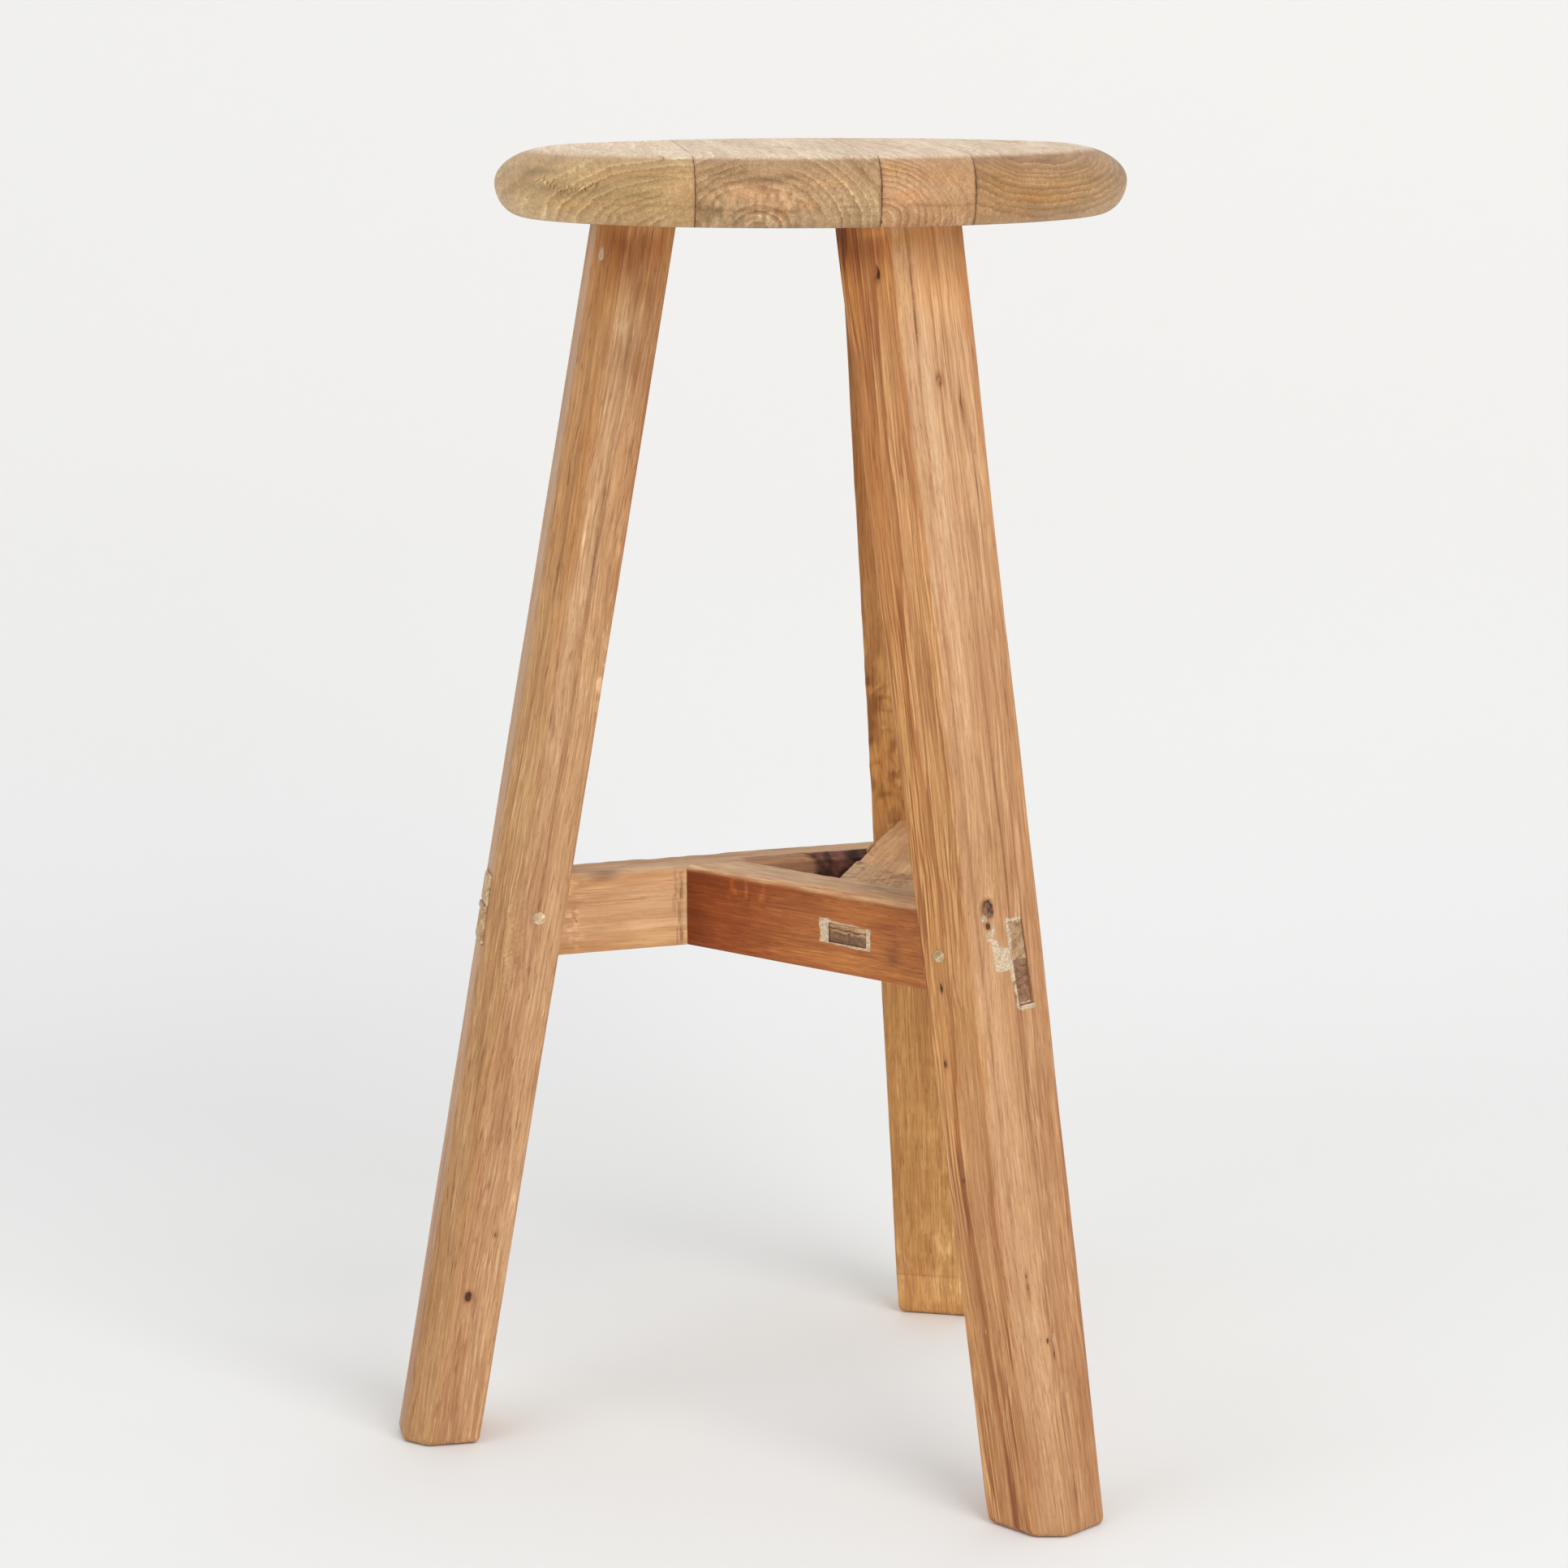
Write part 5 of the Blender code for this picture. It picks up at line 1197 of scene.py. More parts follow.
for name, bar in BARS.items():
    seed = bar["seed"]
    look = BAR_LOOK[name]
    u, n = heading(bar["heading"])
    starts, reach = span(bar)
    obj = build_bar(name, bar)
    p = points(obj)
    U, N, Z = p @ u, p @ n, p[:, 2]
    centre_n = bar["offset"] + bar["hub"] / 2
    # worn top edges, adze marks and, on the hub side, scalloped splits
    inner = step(bar["offset"] + 0.0030, bar["offset"] + 0.0004, N)
    outer = step(bar["offset"] + bar["end"] - 0.0035, bar["offset"] + bar["end"] - 0.0004, N)
    high = step(BAR_TOP - 0.0040, BAR_TOP - 0.0003, Z)
    rough1 = fbm(np.stack([U * 45, N * 80, Z * 80], -1), seed + 3, 3)
    rough2 = fbm(np.stack([U * 150, N * 190, Z * 190], -1), seed + 4, 2)
    drop = high * (0.0006 * np.abs(rough1 - 0.5) * 2 + 0.0003 * rough2)
    edge_bite = high * (inner + 0.6 * outer) * step(0.50, 0.80, rough1) * 0.0016
    if name == "stretcher_left":
        # split away beside the hub: a short slope, then a ragged hollow
        into_hub = bar["offset"] + 0.0068 + 0.0012 * line_noise(U * 70, 12, 2) - N
        slope = step(0.034, 0.026, U) * step(-0.040, -0.034, U)
        ragged = 0.5 + 0.9 * fbm(np.stack([U * 150, N * 90, Z * 0], -1), 3, 3) * step(0.0, -0.012, U)
        edge_bite = edge_bite * (1 - slope) + high * slope * step(0.0, 0.0030, into_hub) * (0.0012 + np.clip(into_hub, 0, 0.007) * 0.46) * ragged
    if name == "stretcher_back":
        # the wide one is worn hollow towards the hub, with a broken flake beside the right leg
        edge_bite = edge_bite + high * 0.0010 * step(0.10, -0.02, U) * step(0.0, 0.012, N - bar["offset"]) * fbm(np.stack([U * 30, N * 40, Z * 0], -1), 8, 3)
        flake = step(0.4, -0.4, (U * 1000 + 4) + (N * 1000 - 37) * 0.9 + 3 * line_noise(N * 120, 21, 2))
        edge_bite = edge_bite + high * 0.0005 * (1 - flake)
    p[:, 2] -= drop + edge_bite
    face = -0.00035 * np.abs(rough1 - 0.5) - 0.0001 * rough2
    p += n * ((face * (outer - inner)))[:, None]
    set_points(obj, p)
    # the next stretcher's hub tenon comes through this bar
    guest_name, guest = next((k, b) for k, b in BARS.items() if b["into"] == name)
    gl, gu, gn, gexit, gout = hub_exit(guest)
    gmid = gl + gu * gexit
    g_n, g_z = guest.get("hub_shown", guest["hub_tenon"]), guest.get("hub_shown_z", HUB_Z)
    g_centre = gmid + gn * (sum(g_n) - sum(guest["hub_tenon"])) / 2 + np.array([0, 0, (sum(g_z) - sum(HUB_Z)) / 2])
    tool = block("hub_mortise", g_centre, gu, gn, np.array([0, 0, 1.0]),
                 (0.024 if name == "stretcher_right" else 0.012, g_n[1] - g_n[0] + 0.0003, g_z[1] - g_z[0] + 0.0003))
    cut(obj, [tool])

    p = points(obj)
    U, N, Z = p @ u, p @ n, p[:, 2]
    pn, pz = look["pith"]
    swirl = (fbm(np.stack([U * 16, N * 45, Z * 45], -1), seed + 6, 2) - 0.5) * 5
    sway = (fbm(np.stack([U * 8, U * 0, U * 0], -1), seed + 7, 2) - 0.5) * 8
    dist = np.hypot(N * 1000 - pn - sway * 0.4, Z * 1000 - pz - sway) + swirl
    ring = dist / look["pitch"] + 0.8 * line_noise(dist * 0.1, seed, 2)
    tone = np.repeat(look["tone"][None], len(p), 0)
    cloud = fbm(np.stack([U * 28, N * 70, Z * 70], -1), seed + 8, 3) - 0.5
    tone = tone * (1 + cloud[:, None] * np.array([0.32, 0.46, 0.62]))
    U_mm, N_mm, Z_mm = U * 1000, N * 1000, Z * 1000
    hole = np.full(len(p), FAR)
    putty = np.full(len(p), FAR)
    edge_n = np.minimum(N - bar["offset"], bar["offset"] + bar["hub"] + (bar["end"] - bar["hub"]) * 0.5 - N)
    top = step(BAR_TOP - 0.0042, BAR_TOP - 0.0016, Z + 0.0012 * (rough_at := fbm(np.stack([U * 60, N * 90, Z * 90], -1), seed + 12, 2) - 0.5))
    inside = step(bar["offset"] + 0.0022, bar["offset"] + 0.0008, N)
    hub_side = inside * step(0.060, 0.045, np.abs(U))
    weather = fbm(np.stack([U * 40, N * 130, Z * 60], -1), seed + 13, 3)
    top_tone = look["top"][None] * (1 + (weather - 0.5)[:, None] * np.array([0.36, 0.44, 0.54]))
    tone = tone * (1 - top[:, None]) + top_tone * top[:, None]
    grey = 0.30 * top
    dirt_and_shade = np.zeros(len(p))

    def mark(u0, n0, ru, rn, gain, mask=1.0):
        global tone
        w = np.exp(-((U_mm - u0) / ru) ** 2 - ((N_mm - n0) / rn) ** 2) * mask
        tone = tone * (1 + w[:, None] * (np.array(gain) - 1))

    def side_mark(u0, z0, ru, rz, gain, mask):
        global tone
        w = np.exp(-((U_mm - u0) / ru) ** 2 - ((Z_mm - z0) / rz) ** 2) * mask
        tone = tone * (1 + w[:, None] * (np.array(gain) - 1))

    def crack(points_, half, mask):
        """A crack along a bent line on the top, or on a side if heights are given instead."""
        global hole
        pts = np.array(points_, float)
        best = np.full(len(p), FAR)
        X = np.stack([U_mm, mask[1]], -1)
        for q0, q1 in zip(pts[:-1], pts[1:]):
            d = q1 - q0
            t = np.clip(((X - q0) @ d) / (d @ d), 0, 1)
            best = np.minimum(best, np.linalg.norm(X - q0 - t[:, None] * d, axis=1))
        hole = np.where(mask[0] > 0.5, np.minimum(hole, best - half), hole)

    if name == "stretcher_right":
        outer_face = step(bar["offset"] + bar["hub"] - 0.0030, bar["offset"] + bar["hub"] - 0.0012, N) * (1 - top)
        # the outer face's dark red is the wood's own colour with some painted shade in it; it grows redder and darker
        # towards the left end, where it meets the next stretcher
        along_r = step(-22, 62, U_mm)[:, None]
        tone = tone * (1 + outer_face[:, None] * ((1 - along_r) * np.array([0.82, 0.55, 0.27]) + along_r * np.array([1.28, 1.33, 1.08]) - 1))
        dark_end = step(-26, -44, U_mm + 3 * line_noise(Z * 80, 5, 2)) * outer_face
        tone = tone * (1 - dark_end[:, None] * np.array([0.30, 0.34, 0.34]))
        side_mark(-28, 284, 12, 3.5, (0.72, 0.62, 0.56), outer_face)
        side_mark(10, 286, 30, 2.2, (0.86, 0.76, 0.66), outer_face)
        side_mark(55, 280, 16, 3.0, (1.16, 1.20, 1.16), outer_face)
        side_mark(70, 257, 20, 3.0, (1.16, 1.24, 1.30), outer_face)
        side_mark(20, 255, 30, 2.2, (1.14, 1.22, 1.24), outer_face)
        side_mark(88, 262, 4.0, 4.5, (0.62, 0.62, 0.62), outer_face)
        side_mark(90, 257, 3.0, 2.4, (1.25, 1.30, 1.32), outer_face)
        side_mark(84, 276, 8, 4, (0.84, 0.76, 0.70), outer_face)
        # fine pale scratches along it, and a row of short upright ticks near the top
        scr = step(0.62, 0.74, fbm(np.stack([U * 85, N * 0, Z * 900], -1), 63, 2)) * outer_face * step(0.40, 0.60, fbm(np.stack([U * 22, N * 0, Z * 90], -1), 66, 2))
        tone = tone * (1 + scr[:, None] * np.array([0.22, 0.30, 0.42]))
        ticks = step(0.62, 0.70, fbm(np.stack([U * 420, N * 0, Z * 210], -1), 67, 1)) * step(276, 281, Z_mm) * step(289, 287, Z_mm) * step(-26, -20, U_mm) * step(8, 2, U_mm) * outer_face
        tone = tone * (1 + ticks[:, None] * np.array([0.45, 0.60, 0.70]))
        dull = 0.6 * step(0.50, 0.75, fbm(np.stack([U * 26, N * 0, Z * 210], -1), 64, 2)) * outer_face
        tone = tone * (1 - dull[:, None] * np.array([0.16, 0.20, 0.22]))
        for u0, z0, u1, z1 in ((30, 285.5, 43, 284.6), (6, 279.5, 12, 283.2), (-6, 275.5, -4.5, 280.5)):
            crack([(u0, z0), ((u0 + u1) / 2, (z0 + z1) / 2 + 0.6), (u1, z1)], 0.06, (outer_face, Z_mm))
        # the next flake laps over its inner half, ending in a crack
        lap = top * step(56, 66, U_mm + N_mm * 0.3) * step(31.8, 31.0, N_mm + 0.9 * line_noise(U * 300, 4, 2))
        tone = tone * (1 - lap[:, None]) + lap[:, None] * srgb(190, 158, 124) * (1 + (weather - 0.5)[:, None] * 0.6)
        crack([(74, 32.6), (79, 31.2), (84, 32.2), (90, 30.8), (95, 31.2)], 0.20, (top, N_mm))
        mark(40, 42.0, 60, 2.4, (1.06, 0.98, 0.90), top)
        mark(0, 38.0, 40, 6.0, (1.02, 1.04, 1.06), top)
        mark(60, 43.5, 40, 1.2, (0.84, 0.72, 0.64), top)
    if name == "stretcher_left":
        inner_face = step(bar["offset"] + 0.0030, bar["offset"] + 0.0012, N) * (1 - top)
        seen = inner_face * step(60, 63, U_mm)
        # grain leaning across, redder above, with two darker lines
        g1 = Z_mm - (279.0 + (122 - U_mm) * 0.105 + 0.9 * np.sin(U * 70))
        g2 = Z_mm - (255.8 + (122 - U_mm) * 0.065 + 0.7 * np.sin(U * 90 + 1))
        tone = tone * (1 + (seen * step(-0.2, 0.6, g1))[:, None] * (np.array([0.90, 0.84, 0.76]) - 1))
        tone = tone * (1 + (seen * step(0.2, -0.6, g2))[:, None] * (np.array([0.90, 0.84, 0.74]) - 1))
        for gg, amp in ((g1, 0.24), (g2, 0.16), (g1 - 3.4, 0.10), (g2 + 2.6, 0.08), (g1 - 5.2, 0.07)):
            tone = tone * (1 - (seen * np.exp(-(gg / 0.55) ** 2))[:, None] * amp * np.array([0.6, 1.0, 1.3]))
        tone = tone * (1 + (seen * np.exp(-((g1 - 1.2) / 0.7) ** 2))[:, None] * np.array([0.16, 0.22, 0.26]))
        # a lighter strip with upright scratches where the next stretcher meets it
        strip_w = seen * step(69.5, 66.0, U_mm + 0.8 * line_noise(Z * 130, 3, 2))
        tone = tone * (1 + strip_w[:, None] * np.array([0.05, 0.09, 0.14]))
        up_scr = step(0.60, 0.70, fbm(np.stack([U * 1500, N * 0, Z * 90], -1), 55, 2)) * strip_w
        tone = tone * (1 - up_scr[:, None] * np.array([0.34, 0.40, 0.44]))
        torn_l = step(0.58, 0.70, fbm(np.stack([U * 300, N * 0, Z * 420], -1), 56, 2)) * seen * step(112, 122, U_mm)
        tone = tone * (1 + torn_l[:, None] * np.array([0.28, 0.36, 0.46]))
        seam = np.abs(U_mm - 64.6) - 0.25
        hole = np.where((seen > 0.5) & (Z_mm < 288), np.minimum(hole, seam + 0.15), hole)
        # black stain under its top edge, and short cracks
        side_mark(106, 287.5, 8, 1.8, (0.55, 0.52, 0.52), inner_face)
        mark(104, 18.5, 9, 1.4, (0.50, 0.46, 0.46), top)
        for c in (((120, 266), (121.5, 269), (121, 273)), ((66, 277), (67.5, 280), (67, 284)), ((68, 268), (68.4, 273), (67.8, 276))):
            crack(c, 0.08, (inner_face, Z_mm))
        # inside the hub: a pale clean part near the tip; the rest is dark purple-brown, dirt with painted shade in it,
        # darker still towards the hub end
        into_hub = (bar["offset"] + 0.0068 - N) * 1000
        pit = step(34, 28, U_mm) * step(-44, -40, U_mm) * step(-0.6, 0.6, into_hub)
        light_part = pit * step(-9, -3, U_mm + 3.0 * line_noise(N * 160 + Z * 160, 6, 2))
        shade_and_dirt_part = pit - light_part
        tone = tone * (1 - light_part[:, None]) + light_part[:, None] * srgb(186, 140, 104) * (1 + (weather - 0.5)[:, None] * 0.5)
        lumps = fbm(np.stack([U * 260, N * 260, Z * 260], -1), 81, 3)
        shade_and_dirt_tone = srgb(112, 74, 62)[None] * (0.45 + 1.1 * step(0.30, 0.70, lumps))[:, None]
        shade_and_dirt_tone = shade_and_dirt_tone * (1 - 0.62 * step(-22, -31, U_mm + 4 * (lumps - 0.5)))[:, None]
        tone = tone * (1 - shade_and_dirt_part[:, None]) + shade_and_dirt_part[:, None] * shade_and_dirt_tone
        grey = grey * (1 - pit)
        crack([(30, 25.2), (22, 24.6), (14, 25.6), (5, 24.4), (-3, 25.4)], 0.18, (top, N_mm))
        crack([(-3, 25.2), (-9, 22.0), (-12, 19.0)], 0.25, (np.maximum(top, inside), N_mm))
        crack([(48, 33.0), (40, 31.0), (31, 31.6), (20, 30.2)], 0.10, (top, N_mm))
        mark(60, 34, 40, 5, (0.90, 0.82, 0.74), top)
        mark(20, 38, 30, 5, (0.96, 0.90, 0.84), top)
    if name == "stretcher_back":
        # the broken flake is greyer; swirling grain and a small knot beside the hub
        flake = top * step(0.4, -0.4, (U_mm + 4) + (N_mm - 37) * 0.9 + 3 * line_noise(N * 120, 21, 2))
        grey = np.maximum(grey, 0.34 * flake)
        tone = tone * (1 + flake[:, None] * (np.array([0.96, 0.99, 1.04]) - 1))
        lip_ = np.exp(-(((U_mm + 4) + (N_mm - 37) * 0.9 + 3 * line_noise(N * 120, 21, 2)) / 1.4) ** 2) * top
        tone = tone * (1 + lip_[:, None] * np.array([0.06, 0.10, 0.16]))
        r = np.hypot((U_mm - 8.0) * 0.8, N_mm - 23.5)
        curl = np.sin(r * 1.25 + 3.0 * (weather - 0.5) * 2 + U_mm * 0.05) * np.exp(-r / 16.0) * top
        tone = tone * (1 + curl[:, None] * np.array([0.10, 0.13, 0.16]))
        tone = tone * (1 - (np.exp(-(np.hypot(U_mm - 8, (N_mm - 23.5) * 1.4) / 2.4) ** 2) * top)[:, None] * np.array([0.45, 0.50, 0.52]))
        crack([(6.5, 25.5), (8.5, 23.0), (10.5, 23.5)], 0.12, (top, N_mm))
        crack([(52, 21.0), (44, 24.0), (35, 22.5), (27, 25.5)], 0.06, (top, N_mm))
        mark(30, 30, 22, 7, (1.04, 1.00, 0.94), top)
        mark(-20, 52, 9, 6, (0.84, 0.78, 0.74), top)
        mark(70, 40, 22, 8, (0.96, 0.88, 0.80), top)
        bumps = fbm(np.stack([U * 240, N * 260, Z * 0], -1), 83, 3)
        spots_ = step(0.60, 0.68, bumps) * flake
        tone = tone * (1 - spots_[:, None] * np.array([0.30, 0.36, 0.40]))
    # painted shade: near the hub the inner faces darken downwards from just under the top
    dirt_and_shade = np.maximum(dirt_and_shade, (0.75 if name != "stretcher_left" else 0.35) * hub_side * step(BAR_TOP - 0.002, BAR_TOP - 0.012, Z))
    # putty round the guest's tenon, on this bar's outer face
    q = p - g_centre
    near_face = (np.abs((p - gmid) @ gout) < 0.004) & (np.linalg.norm(q, axis=1) < 0.045)
    n_g, z_g = p @ gn * 1000, Z_mm
    if name == "stretcher_right":
        slant = (n_g - 30.0) * 0.052
        rag = 1.5 * (fbm(np.stack([n_g / 3.4, z_g / 3.0, z_g * 0], -1), 311, 2) - 0.5)
        frame_d = np.maximum(np.abs(n_g - 30.2) - 14.3, np.abs(z_g + slant - 269.4) - (5.75 - 0.02 * (n_g - 30))) + rag
    else:
        hw, hh = (guest["hub_tenon"][1] - guest["hub_tenon"][0]) * 500, (HUB_Z[1] - HUB_Z[0]) * 500
        rag = 1.2 * (fbm(np.stack([n_g / 3.4, z_g / 3.0, z_g * 0], -1), 312 + seed, 2) - 0.5)
        frame_d = np.maximum(np.abs(q @ gn) * 1000 - hw, np.abs(q[:, 2]) * 1000 - hh) - 1.1 + rag
    putty = np.where(near_face, np.minimum(putty, frame_d), putty)
    dress(obj, bar_wood[name], tone, np.stack([U, N, Z], -1), ring, 1.0, hole=hole, putty=putty, grey=grey, dirt_and_shade=dirt_and_shade,
          node=name, smooth_angle=50)

    # tenon through the leg, in two cheeks with the wedge between them
    line, uu, nn, exit_u, face_n, fp = tenon_exit(bar)
    t0, t1 = bar.get("shown_n", bar["tenon"])
    z0, z1 = bar.get("shown_z", bar["tenon_z"])
    zc, half_w = sum(bar["tenon_z"]) / 2, 0.00155
    short = name.split("_")[1]
    soft = (0.0012, 0.0014) if name == "stretcher_left" else (0.0005, 0.0006)
    for part, (lo, hi) in (("lower", (z0, zc - half_w)), ("upper", (zc + half_w, z1))):
        ln = nn * (t0 + t1) / 2 + np.array([0, 0, (lo + hi) / 2])
        ex = ((fp - ln) @ face_n) / (uu @ face_n)
        sink = {("stretcher_right", "lower"): -0.0010, ("stretcher_right", "upper"): -0.0003}.get((name, part), 0.0)
        o = end_block(f"tenon_{short}_{part}", bar, ln, uu, nn, ex, face_n, t1 - t0, hi - lo, bar["proud"] + sink, 0.030,
                      seed + 50, cells=(26, 40), soft=soft)
        p = points(o)
        U, N, Z = p @ uu, p @ nn, p[:, 2]
        dark = {("stretcher_right", "lower"): srgb(146, 106, 79), ("stretcher_right", "upper"): srgb(176, 142, 104),
                ("stretcher_left", "lower"): srgb(200, 164, 122), ("stretcher_left", "upper"): srgb(208, 176, 134)}.get(
            (name, part), srgb(160, 122, 88))
        mott = fbm(np.stack([N * 340, Z * 420, U * 50], -1), seed + 51, 3) - 0.5
        tone = dark[None] * (1 + mott[:, None] * np.array([0.9, 1.0, 1.1]))
        putty = np.full(len(p), FAR)
        if name == "stretcher_right":
            n_e, z_e = N * 1000, Z * 1000
            rag = 1.6 * (fbm(np.stack([n_e / 2.6, z_e / 3.0, z_e * 0], -1), 303, 2) - 0.5)
            # filler sits in the upper left of the top cheek and in the lower corners of the other
            putty = np.minimum(np.maximum(np.abs(n_e - 44.0) - 0.7, np.abs(z_e - 283) - 6.5), np.maximum(np.abs(n_e - 38) - 6, np.abs(z_e - 289.9) - 0.8)) + rag
            putty = np.minimum(putty, np.maximum(np.abs(n_e - 44.2) - 0.6, np.abs(z_e - 255) - 5.0) + rag)
            putty = np.minimum(putty, np.maximum(np.abs(n_e - 39) - 6, np.abs(z_e - 250.4) - 0.8) + rag)
            bridge = step(0.55, 0.66, fbm(np.stack([N * 420, Z * 420, U * 0], -1), 305, 2)) * np.exp(-((z_e - 270.5) / 2.5) ** 2)
            tone = tone * (1 + bridge[:, None] * np.array([0.35, 0.50, 0.70]))
        dist = np.hypot(N * 1000 - 60, Z * 1000 - 330)
        dress(o, end_wood, tone, np.stack([U, N, Z], -1), dist / 1.6, 0.9, putty=putty, dirt_and_shade=0.25 * mott + 0.06)
    w = end_block(f"wedge_leg_{short}_wood", bar, nn * (t0 + t1) / 2 + np.array([0, 0, zc]), uu, nn,
                  ((fp - nn * (t0 + t1) / 2 - np.array([0, 0, zc])) @ face_n) / (uu @ face_n), face_n,
                  t1 - t0 - 0.0003, 2 * half_w - 0.0002, bar["proud"] - (0.0006 if name == "stretcher_right" else -0.0002), 0.015,
                  seed + 60, cells=(20, 8), soft=(0.0003, 0.0006))
    p = points(w)
    mott = fbm(p * 300, seed + 61, 2) - 0.5
    tone = {"stretcher_right": srgb(150, 114, 84), "stretcher_left": srgb(200, 166, 126)}.get(name, srgb(178, 136, 98))[None] \
        * (1 + mott[:, None] * 0.9)
    dress(w, end_wood, tone, np.stack([p @ uu, p @ nn, p[:, 2]], -1), p[:, 2] * 900, 0.7, node="wedge_leg_" + short)

    # hub tenon end with its upright wedge, split and dark in the photograph's front one
    h0, h1 = bar["hub_tenon"]
    v0, v1 = bar.get("hub_shown", bar["hub_tenon"])
    vz0, vz1 = bar.get("hub_shown_z", HUB_Z)
    line, uu, nn, ex, out = hub_exit(bar)
    zc = (vz0 + vz1) / 2
    front_one = name == "stretcher_back"
    for part, (lo, hi) in (("inner", (v0, (h0 + h1) / 2 - 0.0014)), ("outer", ((h0 + h1) / 2 + 0.0014, v1))):
        ln = nn * (lo + hi) / 2 + np.array([0, 0, zc])
        exu = ((line + uu * ex - ln) @ out) / (uu @ out)
        o = end_block(f"hub_tenon_{short}_{part}", bar, ln, uu, nn, exu, out, hi - lo, vz1 - vz0, -0.0005 if front_one else 0.0001, 0.030,
                      seed + 70, cells=(30, 30))
        p = points(o)
        tone, split = hub_end_look(p @ nn * 1000, p[:, 2] * 1000 - zc * 1000, p @ uu, seed, front_one)
        dress(o, end_wood, tone, np.stack([p @ uu, p @ nn, p[:, 2]], -1), np.hypot(p @ nn * 1000 - 20, p[:, 2] * 1000 - 240) / 1.7, 0.8,
              hole=split)
    ln = nn * (h0 + h1) / 2 + np.array([0, 0, zc])
    exu = ((line + uu * ex - ln) @ out) / (uu @ out)
    w = end_block(f"wedge_hub_{short}_wood", bar, ln, uu, nn, exu, out, 0.0027, vz1 - vz0 - 0.0001, -0.0005 if front_one else 0.0001,
                  0.015, seed + 80, cells=(8, 30))
    p = points(w)
    tone, split = hub_end_look(p @ nn * 1000, p[:, 2] * 1000 - zc * 1000, p @ uu, seed, front_one)
    dress(w, end_wood, tone * 0.97, np.stack([p @ uu, p @ nn, p[:, 2]], -1), p[:, 2] * 900, 0.7, hole=split,
          node="wedge_hub_" + short)


# ---------------------------------------------------------------- pegs
peg_wood = wood("hardwood_peg", pale_line=0.2, dark_line=0.35, fibre=0.7, streak=0.4, pores=0.6, rough=0.62, bump=0.9,
                late=(0.70, 0.60, 0.50))
for short in ("left", "right", "back"):
    low, high = (np.array(v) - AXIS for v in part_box("peg_" + short))
    bar = BARS["stretcher_" + short]
    leg = LEGS[bar["leg"]]
    z = (low[2] + high[2]) / 2
    s, c, f, side = leg_frame(leg, np.array([z]))
    sgn = -1.0 if short == "left" else 1.0
    out = np.array([*(side[0] * sgn), 0.0])
    if short == "left":
        out = -out if out[1] > 0 else out
    mid = (low + high) / 2
    # the head stands at the end of the box that lies on the leg's side face
    radius, long_ = (high[2] - low[2]) / 2, 0.036
    head = mid + out * (long_ / 2)
    x = np.array([0, 0, 1.0])
    y = np.cross(out, x)
    ang = np.linspace(0, 2 * math.pi, 44, endpoint=False)
    rag = 1 - 0.10 * np.abs(line_noise(np.cos(ang) * 2 + 5, ord(short[0]), 2)) - 0.06 * np.abs(line_noise(np.sin(ang) * 3 + 9, ord(short[1]), 2))
    rings = []
    for t, r in ((-long_ + 0.001, 1.0), (-0.004, 1.0), (-0.0012, 1.0), (-0.0005, 0.985), (-0.0001, 0.94), (0.0, 0.86)):
        rings.append(head[None] + out[None] * t + (x[None] * np.cos(ang)[:, None] + y[None] * np.sin(ang)[:, None])
                     * (radius * r * rag)[:, None])
    for k in range(1, len(rings)):
        zz = rings[k][:, 2]
        s_, c_, f_, side_ = leg_frame(leg, zz)
        B_ = leg["half_top"][1] + (leg["half_foot"][1] - leg["half_top"][1]) * s_
        face_at = (c_ * out[None, :2]).sum(1) + B_ * np.abs((side_ * out[None, :2]).sum(1))
        now = head @ out
        rings[k] = rings[k] + out[None] * (face_at - now + 0.0011)[:, None]
    peg = tube(f"peg_{short}_wood", rings)
    p = points(peg)
    q = p - head
    mott = fbm(p * 420, 17, 3) - 0.5
    look_p = srgb(196, 168, 128) if short == "right" else srgb(216, 188, 152)
    tone = look_p[None] * (1 + mott[:, None] * np.array([0.7, 0.8, 0.9]))
    dress(peg, peg_wood, tone, np.stack([q @ out, q @ x, q @ y], -1), np.hypot((q @ x) * 1000 - 5, (q @ y) * 1000 - 3) / 1.1, 0.8,
          node="peg_" + short)

# ---------------------------------------------------------------- hidden dowels keep their CAD solids, with a wood of their own
dowel_mat = bpy.data.materials.new("hardwood_dowel")
dowel_mat.use_nodes = True
dowel_mat.node_tree.nodes.clear()
g = Graph(dowel_mat.node_tree)
where = g.node("ShaderNodeTexCoord").outputs["Object"]
fib = g.noise(g.vmath("MULTIPLY", where, (40.0, 900.0, 900.0)), 3.0, 0.6)
ramp = g.mix(fib, (0.50, 0.37, 0.23, 1.0), (0.66, 0.53, 0.37, 1.0))
bmp = g.node("ShaderNodeBump")
bmp.inputs["Strength"].default_value = 0.4
bmp.inputs["Distance"].default_value = 0.0002
g.put(bmp.inputs["Height"], fib)
pr = g.node("ShaderNodeBsdfPrincipled")
g.put(pr.inputs["Base Color"], ramp)
g.put(pr.inputs["Roughness"], g.smooth(fib, 0.0, 1.0, 0.55, 0.72))
g.put(pr.inputs["Normal"], bmp.outputs[0])
g.put(g.node("ShaderNodeOutputMaterial").inputs["Surface"], pr.outputs[0])
for k in range(1, 7):
    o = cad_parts[f"seat_dowel_{k}"]
    o.data.materials.clear()
    o.data.materials.append(dowel_mat)


# ---------------------------------------------------------------- floor, light and camera
def plain(name, colour, rough):
    mat = bpy.data.materials.new(name)
    mat.use_nodes = True
    b = mat.node_tree.nodes["Principled BSDF"]
    b.inputs["Base Color"].default_value = (*colour, 1.0)
    b.inputs["Roughness"].default_value = rough
    b.inputs["Specular IOR Level"].default_value = 0.2
    return mat


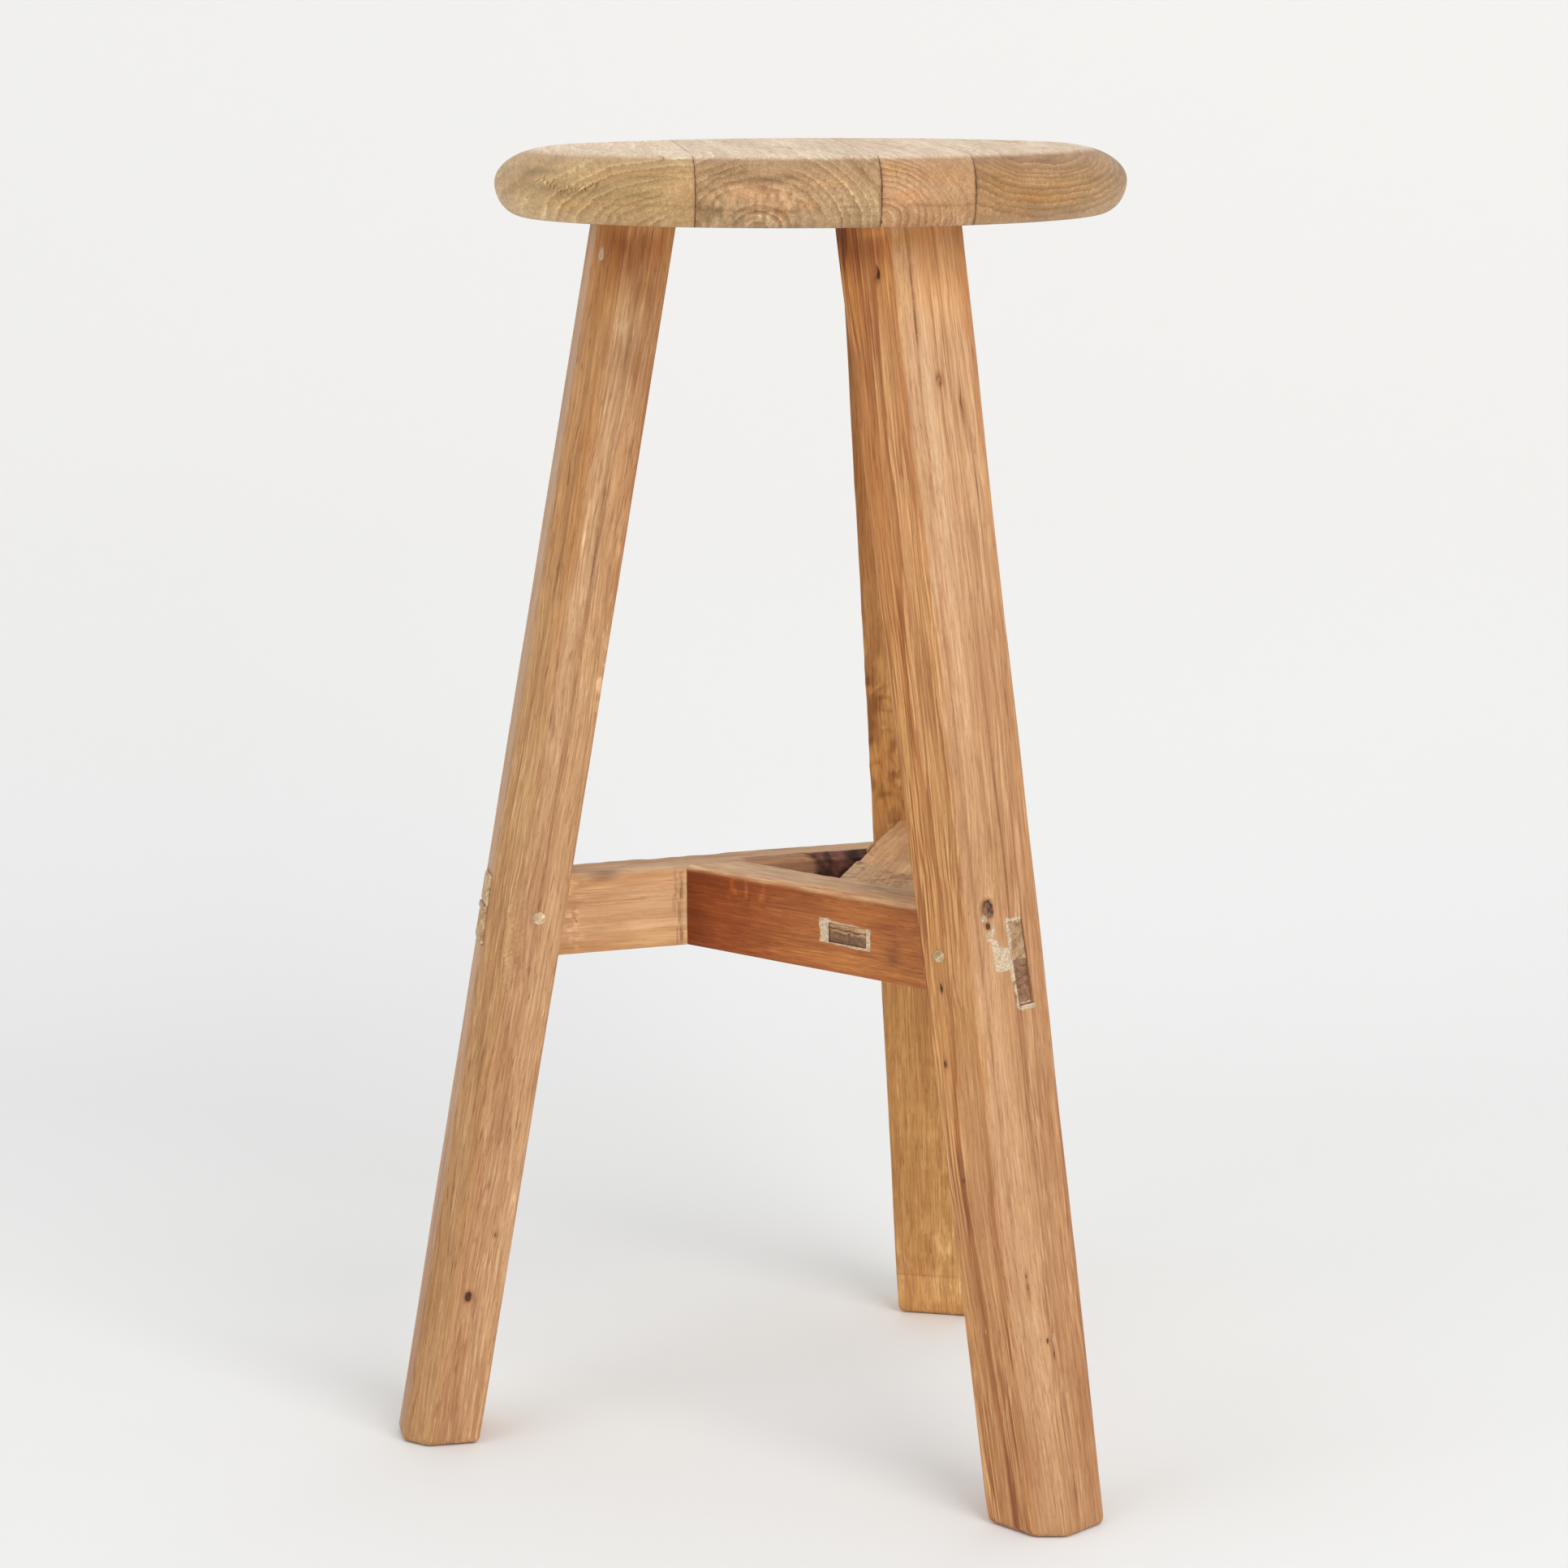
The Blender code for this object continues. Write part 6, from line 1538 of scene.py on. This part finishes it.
# one sheet: floor, a wide bend, then the wall behind
prof = [(-6.0, 0.0), (-3.0, 0.0), (0.6, 0.0)]
for k in range(1, 13):
    t = math.pi / 2 * k / 12
    prof.append((0.6 + 1.0 * math.sin(t), 1.0 - 1.0 * math.cos(t)))
prof += [(1.6, 2.4), (1.6, 5.0)]
co, faces = [], []
for y, z in prof:
    co += [(-6.0, y, z - 0.0002), (6.0, y, z - 0.0002)]
for k in range(len(prof) - 1):
    faces.append((2 * k, 2 * k + 1, 2 * k + 3, 2 * k + 2))
floor = to_object("studio_floor", np.array(co), faces)
studio = plain("studio_white", (0.90, 0.90, 0.89), 0.75)
# the wall is a little warmer than the floor
g = Graph(studio.node_tree)
where = g.node("ShaderNodeSeparateXYZ")
g.put(where.inputs[0], g.node("ShaderNodeNewGeometry").outputs["Position"])
up_the_wall = g.smooth(where.outputs[2], 0.0, 0.35)
g.put(studio.node_tree.nodes["Principled BSDF"].inputs["Base Color"],
      g.mix(up_the_wall, (0.900, 0.905, 0.897), (0.880, 0.866, 0.845)))
floor.data.materials.append(studio)
floor.data.shade_smooth()
floor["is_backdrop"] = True


def lamp(name, place, target, size, power, colour=(1, 1, 1)):
    data = bpy.data.lights.new(name, "AREA")
    data.shape = "RECTANGLE"
    data.size, data.size_y = size
    data.energy = power
    data.color = colour
    obj = bpy.data.objects.new(name, data)
    bpy.context.scene.collection.objects.link(obj)
    obj.location = Vector(place)
    obj.rotation_euler = (Vector(target) - Vector(place)).to_track_quat("-Z", "Y").to_euler()
    return obj


lamp("key", (1.7, -2.7, 2.3), (0, 0, 0.40), (2.2, 2.0), 56, (1.0, 0.985, 0.96))
lamp("fill", (-2.6, -2.4, 1.6), (0, 0, 0.35), (2.4, 2.4), 21.6, (0.98, 0.99, 1.0))

world = bpy.data.worlds.new("studio")
bpy.context.scene.world = world
world.use_nodes = True
world.node_tree.nodes["Background"].inputs[0].default_value = (0.96, 0.98, 1.0, 1.0)
world.node_tree.nodes["Background"].inputs[1].default_value = 0.72

cam = bpy.data.cameras.new("camera")
cam.sensor_width = 36.0
cam.lens = 5068.0 * 36.0 / 1932.0
cam.clip_start, cam.clip_end = 0.05, 50.0
cam_obj = bpy.data.objects.new("camera", cam)
bpy.context.scene.collection.objects.link(cam_obj)
right = Vector((0.99997105, 0.00623002, -0.00436963))
up = Vector((0.00313667, 0.18571579, 0.9825985))
forward = Vector((-0.00693311, 0.98258375, -0.18569087))
m = Matrix((right, up, -forward)).transposed().to_4x4()
m.translation = Vector(AXIS) + Vector((0.0, -2.04516, 0.718268))
cam_obj.matrix_world = m
bpy.context.scene.camera = cam_obj

scene = bpy.context.scene
scene.view_settings.view_transform = "Standard"
scene.view_settings.look = "None"
scene.view_settings.exposure = 0.0
scene.view_settings.gamma = 1.0

# ---------------------------------------------------------------- the bounds of the shown objects, backdrop left out
low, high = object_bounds()
